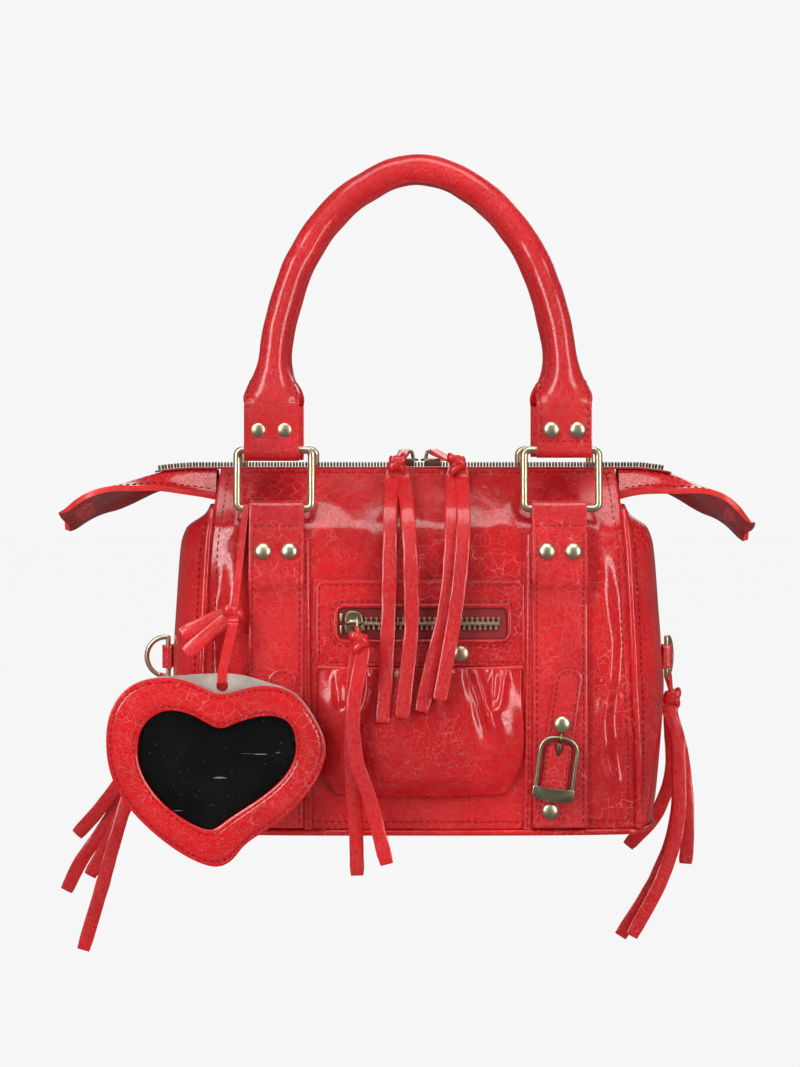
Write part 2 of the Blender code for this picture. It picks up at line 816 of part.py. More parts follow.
def strap_row(side, facing, z, offset, follow):
    """Points across a strap, lifted off the panel; follow 1 keeps to its curve and 0 is straight."""
    middle, normal = on_front(STRAP_CENTRE, z, facing)
    normal = Vector((0, normal.y, normal.z)).normalized()
    row = []
    for share in (-1, -0.33, 0.33, 1):
        x = STRAP_CENTRE + share * STRAP_HALF_WIDTH
        y = middle.y + follow * (on_front(x, z, facing)[0].y - middle.y)
        point = Vector((x, y, z)) + offset * normal
        row.append(Vector((side * x, point.y, point.z)))
    return row


def strap_layers():
    """Lifts of the strap's back layer and of its front layer at the ring and at the rivets."""
    back = GAP + STRAP_LIFT
    at_ring = back + STRAP_THICKNESS + 2 * (HINGE_GAP + RING_WIRE_RADIUS)
    at_rivets = back + STRAP_THICKNESS + 2 * GAP + RIVET_PLATE
    return back, at_ring, at_rivets


def make_strap(side, facing):
    back, at_ring, at_rivets = strap_layers()
    bar, normal, upward = ring_bar(facing)
    stations = []
    return_end = -RING_BAR_DROP - STRAP_RETURN_LENGTH
    rivet_z = -RING_BAR_DROP - STRAP_RIVET_BELOW_BAR
    for z in (return_end, rivet_z - STRAP_PLATEAU, rivet_z + STRAP_PLATEAU, -RING_BAR_DROP):
        inner = strap_row(side, facing, z, back + STRAP_THICKNESS, 0)
        outer = strap_row(side, facing, z, back, 0)
        stations.append((inner, outer))
    near = RING_WIRE_RADIUS + HINGE_GAP
    for step in range(1, 2 * FOLD_STEPS - 2):
        angle = math.pi * step / (2 * FOLD_STEPS - 2)
        out = -math.cos(angle) * normal + math.sin(angle) * upward
        rows = []
        for radius in (near, near + STRAP_THICKNESS):
            row = []
            for share in (-1, -0.33, 0.33, 1):
                x = side * (STRAP_CENTRE + share * STRAP_HALF_WIDTH)
                row.append(Vector((x, 0, 0)) + bar + radius * out)
            rows.append(row)
        stations.append(tuple(rows))
    settle = return_end - STRAP_SETTLE_LENGTH
    bottom = WALL_BOTTOM + STRAP_BOTTOM_MARGIN
    front = [
        (-RING_BAR_DROP, at_ring, 0),
        (rivet_z + STRAP_PLATEAU, at_rivets, 0),
        (rivet_z - STRAP_PLATEAU, at_rivets, 0),
        (return_end - STRAP_THICKNESS, at_rivets, 0),
        (settle, GAP + STRAP_LIFT, 0.5),
        (settle - STRAP_SETTLE_LENGTH, GAP * 2, 1),
    ]
    steps = 6
    for i in range(1, steps + 1):
        share = i / steps
        z = (settle - STRAP_SETTLE_LENGTH) * (1 - share) + bottom * share
        front.append((z, GAP * 2, 1))
    for z, offset, follow in front:
        inner = strap_row(side, facing, z, offset, follow)
        outer = strap_row(side, facing, z, offset + STRAP_THICKNESS, follow)
        stations.append((inner, outer))
    return strip_solid(stations)


def rivet_profile(start, seat):
    """A domed rivet from its start along the axis to its seat on the leather and over its dome."""
    return [
        (start, RIVET_SHANK_RADIUS),
        (seat, RIVET_SHANK_RADIUS),
        (seat, RIVET_RADIUS),
        (seat + 0.35 * RIVET_DOME, 0.96 * RIVET_RADIUS),
        (seat + 0.72 * RIVET_DOME, 0.72 * RIVET_RADIUS),
        (seat + 0.95 * RIVET_DOME, 0.36 * RIVET_RADIUS),
    ]


def box_between(centre, axes, halves):
    """A block with its centre, its three directions and its half lengths along them."""
    rings = []
    for end in (-1, 1):
        ring = []
        for a, b in ((-1, -1), (1, -1), (1, 1), (-1, 1)):
            corner = a * halves[0] * axes[0] + b * halves[1] * axes[1] + end * halves[2] * axes[2]
            ring.append(centre + corner)
        rings.append(ring)
    return loft(rings)


def rivet_pair(centre, outward, seat, back_seat=None):
    """Two rivets on one plate that lies between two leathers; back_seat adds caps on the far side."""
    across = Vector((1, 0, 0))
    along = outward.cross(across).normalized()
    halves = (RIVET_PLATE_LENGTH / 2, RIVET_PLATE_WIDTH / 2, RIVET_PLATE / 2)
    shape = box_between(centre, (across, along, outward), halves)
    for sign in (-1, 1):
        foot = centre + sign * RIVET_SPACING / 2 * across
        shape = union(shape, turned(foot, outward, rivet_profile(0, seat)))
        if back_seat:
            cap = [
                (0, RIVET_SHANK_RADIUS),
                (back_seat, RIVET_SHANK_RADIUS),
                (back_seat, RIVET_RADIUS),
                (back_seat + RIVET_BACK_DOME, 0.6 * RIVET_RADIUS),
            ]
            shape = union(shape, turned(foot, -outward, cap))
    return shape


def rivet_holes(centre, outward, reach, back_reach=0):
    """The two round cutters that let a rivet pair's shanks through the leather."""
    radius = RIVET_SHANK_RADIUS + RIVET_HOLE_CLEARANCE
    cutters = []
    for sign in (-1, 1):
        foot = centre + Vector((sign * RIVET_SPACING / 2, 0, 0))
        cutters.append(cylinder_between(foot - back_reach * outward, foot + reach * outward, radius, 8))
    return cutters


def strap_rivet_place(side, facing):
    """The middle of a strap's rivet plate, the outward direction there and the dome's seat."""
    back, at_ring, at_rivets = strap_layers()
    z = -RING_BAR_DROP - STRAP_RIVET_BELOW_BAR
    place, normal = on_front(STRAP_CENTRE, z, facing)
    normal = Vector((0, normal.y, normal.z)).normalized()
    middle = at_rivets - GAP - RIVET_PLATE / 2
    centre = Vector((side * STRAP_CENTRE, place.y, place.z)) + middle * normal
    seat = RIVET_PLATE / 2 + GAP + STRAP_THICKNESS + GAP
    return centre, normal, seat


def handle_line(share, side, facing):
    """A point of the handle's front line: share 0 is the top of its flat tab and 1 the apex."""
    positions = [i / (len(HANDLE_CLIMB_SHARES) - 1) for i in range(len(HANDLE_CLIMB_SHARES))]
    x = HANDLE_CENTRE * interpolate(positions, HANDLE_SPAN_SHARES, share)
    climb = interpolate(positions, HANDLE_CLIMB_SHARES, share)
    z = HANDLE_RADIUS - HANDLE_HEIGHT * (1 - climb)
    tab_depth = abs(ring_top_bar(facing).y) + RIVET_PLATE / 2 + GAP + HANDLE_LEATHER / 2
    depth = tab_depth + (HANDLE_APEX_DEPTH - tab_depth) * climb
    return Vector((side * x, facing * depth, z))


def handle_roll(share):
    positions = [i / (len(HANDLE_ROLL_SHARES) - 1) for i in range(len(HANDLE_ROLL_SHARES))]
    return interpolate(positions, HANDLE_ROLL_SHARES, share)


def handle_frame(share, side, facing):
    """The place, the width direction and the direction towards the bag's middle plane."""
    place = handle_line(share, side, facing)
    if share >= 1:
        tangent = Vector((-side, 0, 0))
    else:
        step = 0.01
        ahead = handle_line(share + step, side, facing)
        behind = handle_line(max(share - step, 0), side, facing)
        tangent = (ahead - behind).normalized()
    inwards = Vector((0, -facing, 0))
    inwards = (inwards - inwards.dot(tangent) * tangent).normalized()
    across = side * facing * tangent.cross(inwards)
    return place, across.normalized(), inwards


def handle_station(share, side, facing):
    """Rows on the outer and inner face of the handle's leather, rolled into a tube towards the apex."""
    place, across, inwards = handle_frame(share, side, facing)
    roll = handle_roll(share)
    half = HANDLE_TAB_HALF_WIDTH + (HANDLE_ARC_HALF_LENGTH - HANDLE_TAB_HALF_WIDTH) * roll
    bend = max(roll * HANDLE_ARC_HALF_LENGTH / HANDLE_RADIUS, 0.01)
    radius = half / bend
    outer = []
    inner = []
    for i in range(HANDLE_COLUMNS + 1):
        angle = bend * (2 * i / HANDLE_COLUMNS - 1)
        out = math.sin(angle) * across - math.cos(angle) * inwards
        middle = place + radius * inwards + radius * out
        outer.append(middle + HANDLE_LEATHER / 2 * out)
        inner.append(middle - HANDLE_LEATHER / 2 * out)
    return outer, inner


def tab_row(side, place):
    row = []
    for i in range(HANDLE_COLUMNS + 1):
        x = HANDLE_CENTRE + HANDLE_TAB_HALF_WIDTH * (2 * i / HANDLE_COLUMNS - 1)
        row.append(Vector((side * x, place.y, place.z)))
    return row


def handle_rivet_place(facing):
    """The middle of the rivet plate between the tab's two layers, and the outward direction."""
    bar = ring_top_bar(facing)
    outward = Vector((0, facing, 0))
    return bar + Vector((0, 0, HANDLE_RIVET_ABOVE_BAR)), outward


def handle_tab_stations(side, facing):
    """The flat end from its free edge behind, down round the ring's bar and up in front."""
    bar = ring_top_bar(facing)
    outward = Vector((0, facing, 0))
    upward = Vector((0, 0, 1))
    near = RING_WIRE_RADIUS + HINGE_GAP
    apart = RIVET_PLATE / 2 + GAP
    rivets = HANDLE_RIVET_ABOVE_BAR
    plateau = RIVET_PLATE_WIDTH / 2 + GAP
    stations = []
    for height in (HANDLE_RETURN_LENGTH, rivets + plateau, rivets - plateau):
        inner = bar + height * upward - apart * outward
        outer = inner - HANDLE_LEATHER * outward
        stations.append((tab_row(side, outer), tab_row(side, inner)))
    for step in range(2 * FOLD_STEPS - 1):
        angle = math.pi * step / (2 * FOLD_STEPS - 2)
        out = -math.cos(angle) * outward - math.sin(angle) * upward
        inner = bar + near * out
        outer = bar + (near + HANDLE_LEATHER) * out
        stations.append((tab_row(side, outer), tab_row(side, inner)))
    for height in (rivets - plateau, rivets + plateau):
        inner = bar + height * upward + apart * outward
        outer = inner + HANDLE_LEATHER * outward
        stations.append((tab_row(side, outer), tab_row(side, inner)))
    return stations


def make_handle(facing):
    """One strip of leather: a doubled tab at each end and a rolled tube, open inwards, between them."""
    left = handle_tab_stations(-1, facing)
    right = handle_tab_stations(1, facing)
    for step in range(HANDLE_STATIONS + 1):
        share = step / HANDLE_STATIONS
        left.append(handle_station(share, -1, facing))
        if share < 1:
            right.append(handle_station(share, 1, facing))
    shape = strip_solid(left + list(reversed(right)))
    centre, outward = handle_rivet_place(facing)
    for side in (-1, 1):
        place = centre + Vector((side * HANDLE_CENTRE, 0, 0))
        for cutter in rivet_holes(place, outward, CUT_OVERRUN, CUT_OVERRUN):
            shape = combine(shape, cutter, "DIFFERENCE")
    return shape


def make_handle_core(facing):
    """The cord that fills the rolled part of a handle."""
    rings = []
    shares = [0.30 + 0.70 * i / 9 for i in range(10)]
    places = [(share, -1) for share in shares] + [(share, 1) for share in reversed(shares[:-1])]
    for share, side in places:
        place, across, inwards = handle_frame(share, side, facing)
        centre = place + HANDLE_RADIUS * inwards
        ring = []
        for i in range(8):
            angle = 2 * math.pi * i / 8
            ring.append(centre + CORE_RADIUS * (math.cos(angle) * across + math.sin(angle) * inwards))
        rings.append(ring)
    return loft(rings)


def make_straps_and_handles(leather, cloth, brass):
    for word, facing in (("front", -1), ("back", 1)):
        rings = add_joint(f"{word}_ring_axis", ring_bar(facing)[0])
        handle = add_joint(f"{word}_handle_axis", ring_top_bar(facing))
        for hand, side in (("left", -1), ("right", 1)):
            strap = make_strap(side, facing)
            if facing < 0:
                centre, normal, seat = strap_rivet_place(side, facing)
                for cutter in rivet_holes(centre, normal, CUT_OVERRUN):
                    strap = combine(strap, cutter, "DIFFERENCE")
                add_object(f"{word}_{hand}_strap_rivets", rivet_pair(centre, normal, seat), brass)
            add_object(f"{word}_{hand}_strap", strap, leather)
            add_object(f"{word}_{hand}_ring", make_rectangular_ring(side, facing), brass, rings)
            centre, outward = handle_rivet_place(facing)
            seat = RIVET_PLATE / 2 + GAP + HANDLE_LEATHER + GAP
            centre = centre + Vector((side * HANDLE_CENTRE, 0, 0))
            rivets = rivet_pair(centre, outward, seat, seat)
            add_object(f"{word}_{hand}_handle_rivets", rivets, brass, handle)
        add_object(f"{word}_handle", make_handle(facing), leather, handle)
        add_object(f"{word}_handle_core", make_handle_core(facing), cloth, handle)


def smooth_route(points, steps):
    """Points along a smooth curve through the route's own points."""
    positions = list(range(len(points)))
    places = []
    for i in range(steps + 1):
        at = (len(points) - 1) * i / steps
        place = [interpolate(positions, [point[k] for point in points], at) for k in range(3)]
        places.append(Vector(place))
    return places


def ribbon(places, width, thickness, face):
    """A flat lace along the places, its face turned towards the face direction."""
    face = Vector(face).normalized()
    rings = []
    last = len(places) - 1
    for i, place in enumerate(places):
        tangent = (places[min(i + 1, last)] - places[max(i - 1, 0)]).normalized()
        across = tangent.cross(face).normalized()
        out = across.cross(tangent).normalized()
        ring = []
        for a, b in ((-1, -1), (1, -1), (1, 1), (-1, 1)):
            ring.append(place + a * width / 2 * across + b * thickness / 2 * out)
        rings.append(ring)
    return loft(rings)


def ball(centre, radii, segments=8):
    """A closed round lump with its three half sizes."""
    shape = bmesh.new()
    bmesh.ops.create_uvsphere(shape, u_segments=segments, v_segments=6, radius=1)
    for vertex in shape.verts:
        vertex.co = Vector([centre[k] + radii[k] * vertex.co[k] for k in range(3)])
    return shape


def lace_loop(bar, bar_radius, axis, end, width):
    """A closed loop of lace round a bar, drawn together at its end, which lies in a knot."""
    axis = Vector(axis).normalized()
    bar = Vector(bar)
    end = Vector(end)
    reach = end - bar
    reach = reach - reach.dot(axis) * axis
    onward = reach.normalized()
    side = axis.cross(onward).normalized()
    near = bar_radius + HINGE_GAP + LACE_THICKNESS / 2
    middle = []
    for step in range(7):
        angle = math.pi * step / 6
        middle.append(bar - near * math.sin(angle) * onward + near * math.cos(angle) * side)
    for share in (0.5, 0.9):
        middle.append(bar + share * (end - bar) - near * (1 - 0.6 * share) * side)
    middle.append(end.copy())
    for share in (0.9, 0.5):
        middle.append(bar + share * (end - bar) + near * (1 - 0.6 * share) * side)
    rings = []
    count = len(middle)
    for i in range(count):
        tangent = (middle[(i + 1) % count] - middle[i - 1]).normalized()
        across = (axis - axis.dot(tangent) * tangent).normalized()
        out = across.cross(tangent).normalized()
        ring = []
        for a, b in ((-1, -1), (1, -1), (1, 1), (-1, 1)):
            ring.append(middle[i] + a * width / 2 * across + b * LACE_THICKNESS / 2 * out)
        rings.append(ring)
    return loft(rings, closed=False)


def make_tassel(bar, bar_radius, axis, knot, tails, face, loop_width=LOOP_WIDTH):
    """A lace looped round a bar, its knot and its two tails, as one piece."""
    radii = (KNOT_RADIUS, KNOT_RADIUS * KNOT_SQUASH_SHARE, KNOT_RADIUS)
    shape = union(ball(knot, radii), lace_loop(bar, bar_radius, axis, knot, loop_width))
    for route in tails:
        places = smooth_route((tuple(knot),) + tuple(route), 2 * len(route))
        shape = union(shape, ribbon(places, LACE_WIDTH, LACE_THICKNESS, face))
    return shape


def front_frame(x, z):
    """The front panel's place, outward normal and upward tangent."""
    place, normal = on_front(x, z)
    upward = (Vector((0, 0, 1)) - normal.z * normal).normalized()
    return place, normal, upward


def front_sheet(columns, rows, place_at, thickness):
    """A sheet on the front panel; place_at gives x, z and the offset of its inner face for two shares."""
    outer = []
    inner = []
    for r in range(rows + 1):
        outer_row = []
        inner_row = []
        for c in range(columns + 1):
            x, z, offset = place_at(2 * c / columns - 1, r / rows)
            place, normal = on_front(x, z)
            inner_row.append(place + offset * normal)
            outer_row.append(place + (offset + thickness) * normal)
        outer.append(outer_row)
        inner.append(inner_row)
    return sheet(outer, inner)


def rounded_outline(half_width, half_height, corner, steps=4):
    points = []
    for sx, sz, start in ((1, 1, 0), (-1, 1, 90), (-1, -1, 180), (1, -1, 270)):
        for step in range(steps + 1):
            angle = math.radians(start + 90 * step / steps)
            x = sx * (half_width - corner) + corner * math.cos(angle)
            z = sz * (half_height - corner) + corner * math.sin(angle)
            points.append((x, z))
    return points


def make_pocket_panel():
    def place_at(across, down):
        x = POCKET_CENTRE + POCKET_HALF_WIDTH * across
        z = -POCKET_TOP_DROP - (POCKET_BAND_DROP - POCKET_TOP_DROP) * down
        return x, z, POCKET_SEAT

    panel = front_sheet(10, 4, place_at, POCKET_LEATHER)
    place, normal, upward = front_frame(WINDOW_CENTRE, -WINDOW_DROP)
    outline = rounded_outline(WINDOW_WIDTH / 2, WINDOW_HEIGHT / 2, WINDOW_CORNER)
    rings = []
    for depth in (-CUT_OVERRUN, POCKET_SEAT + POCKET_LEATHER + CUT_OVERRUN):
        rings.append([place + x * Vector((1, 0, 0)) + z * upward + depth * normal for x, z in outline])
    return combine(panel, loft(rings), "DIFFERENCE")


def make_pocket_zip():
    """The tape behind the window and the closed row of teeth along its middle."""

    def tape_at(across, down):
        x = WINDOW_CENTRE + (WINDOW_WIDTH / 2 - 2 * GAP) * across
        half = WINDOW_HEIGHT / 2 - 2 * GAP
        corner = max(abs(x - WINDOW_CENTRE) - (WINDOW_WIDTH / 2 - WINDOW_CORNER), 0)
        half -= WINDOW_CORNER * (1 - math.sqrt(max(1 - (corner / WINDOW_CORNER) ** 2, 0)))
        return x, -WINDOW_DROP + half * (1 - 2 * down), POCKET_SEAT

    def teeth_at(across, down):
        x = WINDOW_CENTRE + (WINDOW_WIDTH / 2 - WINDOW_CORNER) * across
        z = -WINDOW_DROP + ZIP_TEETH_HALF_WIDTH * (1 - 2 * down)
        return x, z, POCKET_SEAT + ZIP_TAPE_THICKNESS / 2

    tape = front_sheet(16, 2, tape_at, ZIP_TAPE_THICKNESS)
    teeth = front_sheet(10, 2, teeth_at, ZIP_TAPE_THICKNESS / 2 + ZIP_TEETH_HEIGHT * 0.6)
    return union(tape, teeth)


def make_pouch():
    """The gathered pouch below the pocket's zip, open towards the front panel."""
    positions = [i / (len(POUCH_WIDTH_SHARES) - 1) for i in range(len(POUCH_WIDTH_SHARES))]

    def place_at(across, down):
        half = POCKET_HALF_WIDTH * interpolate(positions, POUCH_WIDTH_SHARES, down)
        z = -POCKET_BAND_DROP - GAP * 2 - (POCKET_BOTTOM_DROP - POCKET_BAND_DROP) * down
        bulge = POCKET_BULGE * interpolate(positions, POUCH_BULGE_SHARES, down) * (1 - abs(across) ** 3)
        return POCKET_CENTRE + half * across, z, POCKET_SEAT + bulge

    return front_sheet(14, 10, place_at, POCKET_LEATHER)


def dome_on(place, outward, seat):
    """A rivet's domed head resting above a place."""
    profile = [
        (seat, RIVET_RADIUS),
        (seat + 0.35 * RIVET_DOME, 0.96 * RIVET_RADIUS),
        (seat + 0.72 * RIVET_DOME, 0.72 * RIVET_RADIUS),
        (seat + 0.95 * RIVET_DOME, 0.36 * RIVET_RADIUS),
    ]
    return turned(place, outward, profile)


def tab_offset():
    return 2 * GAP + STRAP_THICKNESS + GAP


def tab_centre(side, z):
    share = (-z - TAB_TOP_DROP) / (TAB_BOTTOM_DROP - TAB_TOP_DROP)
    return side * STRAP_CENTRE + TAB_TOP_SHIFT + (TAB_BOTTOM_SHIFT - TAB_TOP_SHIFT) * share


def buckle_offset():
    return tab_offset() + TAB_THICKNESS + BUCKLE_LIFT


def make_tab(side):
    """The narrow strap with a round end that the buckle sits on, slotted for the prong's eye."""

    def place_at(across, down):
        z = -TAB_TOP_DROP - (TAB_BOTTOM_DROP - TAB_TOP_DROP) * down**1.6
        from_end = -z - TAB_TOP_DROP
        half = TAB_HALF_WIDTH
        if from_end < TAB_HALF_WIDTH:
            half = math.sqrt(TAB_HALF_WIDTH**2 - (TAB_HALF_WIDTH - from_end) ** 2) + PRONG_RADIUS
        return tab_centre(side, z) + min(half, TAB_HALF_WIDTH) * across, z, tab_offset()

    tab = front_sheet(2, 14, place_at, TAB_THICKNESS)
    x = tab_centre(side, -BUCKLE_TOP_DROP)
    place, normal, upward = front_frame(x, -BUCKLE_TOP_DROP)
    centre = place + (tab_offset() + TAB_THICKNESS / 2) * normal
    reach = BUCKLE_WIRE_RADIUS + HINGE_GAP + 2 * PRONG_RADIUS + 2 * HINGE_GAP
    slot = box_between(
        centre, (Vector((1, 0, 0)), upward, normal), (PRONG_SLOT_HALF_WIDTH, reach, TAB_THICKNESS)
    )
    return combine(tab, slot, "DIFFERENCE")


def buckle_frame(side):
    """The frame's middle of the arch, its outward normal, its downward and its sideways direction."""
    top = tab_centre(side, -BUCKLE_TOP_DROP)
    bottom = tab_centre(side, -BUCKLE_BOTTOM_DROP)
    place, normal, upward = front_frame(top, -BUCKLE_TOP_DROP)
    foot, foot_normal, foot_upward = front_frame(bottom, -BUCKLE_BOTTOM_DROP)
    arch = place + buckle_offset() * normal
    down = (foot + buckle_offset() * foot_normal - arch).normalized()
    across = down.cross(normal).normalized()
    if across.x < 0:
        across = -across
    out = down.cross(across).normalized()
    if out.dot(normal) < 0:
        out = -out
    return arch, out, down, across


def make_buckle(side):
    arch, out, down, across = buckle_frame(side)
    length = BUCKLE_LENGTH
    rise = BUCKLE_HALF_WIDTH * 0.8
    path = []
    for step in range(9):
        angle = math.pi * step / 8
        path.append(
            arch + BUCKLE_HALF_WIDTH * math.cos(angle) * across + rise * (1 - math.sin(angle)) * down
        )
    for x in (-1, -0.5, 0.5, 1):
        path.append(arch + x * BUCKLE_HALF_WIDTH * across + length * down)
    wire = closed_tube(path, BUCKLE_WIRE_RADIUS, out, 8)
    halves = (BUCKLE_HALF_WIDTH + BUCKLE_WIRE_RADIUS, BUCKLE_BAR_HEIGHT / 2, BUCKLE_BAR_THICKNESS / 2)
    bar = box_between(arch + length * down, (across, down, out), halves)
    return union(wire, bar)


def make_prong(side):
    """A prong with a round eye on the buckle's arch, its tip resting just above the tab."""
    arch, out, down, across = buckle_frame(side)
    ring_radius = BUCKLE_WIRE_RADIUS + HINGE_GAP + PRONG_RADIUS
    path = []
    for step in range(10):
        angle = 2 * math.pi * step / 10
        path.append(arch + ring_radius * (math.cos(angle) * down + math.sin(angle) * out))
    eye = closed_tube(path, PRONG_RADIUS, across, 6)
    start = arch + ring_radius * down
    tip = arch + PRONG_LENGTH * down - (BUCKLE_LIFT - PRONG_RADIUS - GAP) * out
    return union(eye, cylinder_between(start, tip, PRONG_RADIUS, 8))


def make_slider(centre, axes, heights, length, half_width):
    """A slider over closed teeth: a plate, two flanges and a crown, at heights above its centre."""
    along, across, out = axes
    tape_top, teeth_top = heights
    inner = ZIP_TEETH_HALF_WIDTH + GAP
    plate = teeth_top + GAP
    foot = tape_top + GAP
    rings = []
    for share, width_share in ((-1, 0.80), (-0.6, 1), (0.35, 1), (1, 0.86)):
        half = half_width * width_share
        start = centre + share * length / 2 * along
        outline = (
            (-half, foot),
            (-inner, foot),
            (-inner, plate),
            (inner, plate),
            (inner, foot),
            (half, foot),
            (half, plate + 0.6 * SLIDER_PLATE),
            (0.6 * half, plate + SLIDER_PLATE),
            (-0.6 * half, plate + SLIDER_PLATE),
            (-half, plate + 0.6 * SLIDER_PLATE),
        )
        rings.append([start + a * across + h * out for a, h in outline])
    body = loft(rings)
    base = centre + (plate + SLIDER_PLATE / 2) * out
    crown_rings = []
    steps = 8
    for i in range(steps + 1):
        angle = math.pi * i / steps
        place = base - math.cos(angle) * CROWN_HALF_LENGTH * along
        place += (CROWN_HEIGHT + SLIDER_PLATE / 2) * min(math.sin(angle) * 1.6, 1) * out
        tangent = math.sin(angle) * along + 1.2 * math.cos(angle) * out
        tangent.normalize()
        side = across.cross(tangent).normalized()
        ring = []
        for j in range(8):
            turn = 2 * math.pi * j / 8
            ring.append(place + CROWN_WIRE_RADIUS * (math.cos(turn) * side + math.sin(turn) * across))
        crown_rings.append(ring)
    return union(body, loft(crown_rings))


def crown_bar(centre, out, teeth_top):
    return centre + (teeth_top + GAP + SLIDER_PLATE + CROWN_HEIGHT) * out


def top_slider_place(side):
    x = SLIDER_MEETING + side * (SLIDER_LENGTH / 2 + SLIDER_APART)
    return Vector((x, 0, ridge_height(0)))


def top_zip_heights():
    tape_top = GAP + ZIP_TAPE_THICKNESS
    teeth_top = tape_top + GAP + ZIP_TEETH_HEIGHT
    return tape_top, teeth_top


def pocket_slider_place():
    x = WINDOW_CENTRE - WINDOW_WIDTH / 2 + POCKET_SLIDER_INSET
    place, normal, upward = front_frame(x, -WINDOW_DROP)
    return place + POCKET_SEAT * normal, normal, upward


def pocket_zip_heights():
    return ZIP_TAPE_THICKNESS, ZIP_TAPE_THICKNESS + ZIP_TEETH_HEIGHT * 0.6


def pull_tails(bar, shares, length):
    """The tails' points, beside and below the bar and in front of the panel that they hang over."""
    tails = []
    for route in shares:
        places = []
        for across, forwards, down in route:
            x = bar.x + across * length
            z = bar.z - down * length
            ground = on_front(x, min(max(z, WALL_BOTTOM), BODY_TOP))[0].y
            places.append((x, ground - forwards * length, z))
        tails.append(tuple(places))
    return tails


def free_tails(start, shares, length, side):
    """The tails' points outwards, forwards and down from the place that they hang from."""
    tails = []
    for route in shares:
        places = []
        for outwards, forwards, down in route:
            places.append(
                (start.x + side * outwards * length, start.y - forwards * length, start.z - down * length)
            )
        tails.append(tuple(places))
    return tails


def knot_above(tails):
    """The middle of a knot just above the first points of a lace's two tails."""
    first = Vector(tails[0][0])
    second = Vector(tails[1][0])
    return (first + second) / 2 + Vector((0, 0, KNOT_RADIUS * 1.2))


def make_pull_ring(bar, normal, upward):
    """The ring in the pocket slider's crown, with the place and direction of its wire for the lace."""
    reach = PULL_RING_RADIUS - CROWN_WIRE_RADIUS - HINGE_GAP - PULL_RING_WIRE_RADIUS
    centre = bar + Vector((PULL_RING_SHIFT, 0, 0))
    centre += reach * (math.cos(PULL_RING_DROOP) * normal - math.sin(PULL_RING_DROOP) * upward)
    path = []
    for step in range(14):
        angle = 2 * math.pi * step / 14
        path.append(centre + PULL_RING_RADIUS * (math.cos(angle) * normal + math.sin(angle) * upward))
    ring = closed_tube(path, PULL_RING_WIRE_RADIUS, Vector((1, 0, 0)), 8)
    spoke = math.cos(LACE_ON_RING) * normal - math.sin(LACE_ON_RING) * upward
    tangent = math.sin(LACE_ON_RING) * normal + math.cos(LACE_ON_RING) * upward
    return ring, centre + PULL_RING_RADIUS * spoke, tangent


def make_zips_and_pulls(leather, brass, dark_brass):
    heights = top_zip_heights()
    along = Vector((1, 0, 0))
    upward = Vector((0, 0, 1))
    for hand, side, shares in (("left", -1, LEFT_PULL_SHARES), ("right", 1, RIGHT_PULL_SHARES)):
        centre = top_slider_place(side)
        axes = (-side * along, Vector((0, 1, 0)), upward)
        slider = make_slider(centre, axes, heights, SLIDER_LENGTH, SLIDER_HALF_WIDTH)
        add_object(f"{hand}_zip_slider", slider, dark_brass)
        bar = crown_bar(centre, upward, heights[1])
        joint = add_joint(f"{hand}_pull_axis", bar)
        tails = pull_tails(bar, shares, TOP_PULL_LENGTH)
        tassel = make_tassel(bar, CROWN_WIRE_RADIUS, along, knot_above(tails), tails, (0, -1, 0))
        add_object(f"{hand}_zip_pull", tassel, leather, joint)
    place, normal, tangent = pocket_slider_place()
    heights = pocket_zip_heights()
    slider = make_slider(
        place, (along, tangent, normal), heights, POCKET_SLIDER_LENGTH, POCKET_SLIDER_HALF_WIDTH
    )
    add_object("pocket_zip_slider", slider, brass)
    bar = crown_bar(place, normal, heights[1])
    joint = add_joint("pocket_pull_axis", bar)
    ring, wire, direction = make_pull_ring(bar, normal, tangent)
    add_object("pocket_pull_ring", ring, brass, joint)
    tails = pull_tails(wire, POCKET_PULL_SHARES, POCKET_PULL_LENGTH)
    knot = knot_above(tails)
    tassel = make_tassel(
        wire, PULL_RING_WIRE_RADIUS, direction, knot, tails, (0, -1, 0), NARROW_LOOP_WIDTH
    )
    add_object("pocket_zip_pull", tassel, leather, joint)


def make_pocket(leather, tape, brass):
    add_object("pocket_zip_panel", make_pocket_panel(), leather)
    add_object("pocket_zip", make_pocket_zip(), tape)
    add_object("pocket_pouch", make_pouch(), leather)
    across = POCKET_CENTRE + POCKET_RIVET_SHARE * POCKET_HALF_WIDTH
    below_window = WINDOW_DROP + WINDOW_HEIGHT / 2
    place, normal = on_front(across, -(below_window + POCKET_BAND_DROP) / 2)
    add_object("pocket_rivet", dome_on(place, normal, POCKET_SEAT + POCKET_LEATHER + GAP), brass)


def make_tabs(leather, brass, dark_brass):
    for hand, side in (("left", -1), ("right", 1)):
        add_object(f"{hand}_buckle_tab", make_tab(side), leather)
        add_object(f"{hand}_buckle", make_buckle(side), brass)
        joint = add_joint(f"{hand}_prong_axis", buckle_frame(side)[0])
        add_object(f"{hand}_buckle_prong", make_prong(side), dark_brass, joint)
        for word, drop in (("upper", TAB_RIVET_DROP), ("lower", LOWER_RIVET_DROP)):
            place, normal = on_front(tab_centre(side, -drop), -drop)
            seat = tab_offset() + TAB_THICKNESS + GAP
            add_object(f"{hand}_{word}_tab_rivet", dome_on(place, normal, seat), brass)


def d_ring_bar(side):
    place = gusset_point(0, share_at(-D_RING_DROP), side)
    offset = GAP + D_TAB_LEATHER / 2 + HINGE_GAP + D_RING_WIRE_RADIUS
    return place + Vector((side * offset, 0, 0))


def d_ring_outward(side):
    turn = RIGHT_D_RING_TURN if side > 0 else 0
    return Vector((side * math.cos(turn), math.sin(turn), 0))


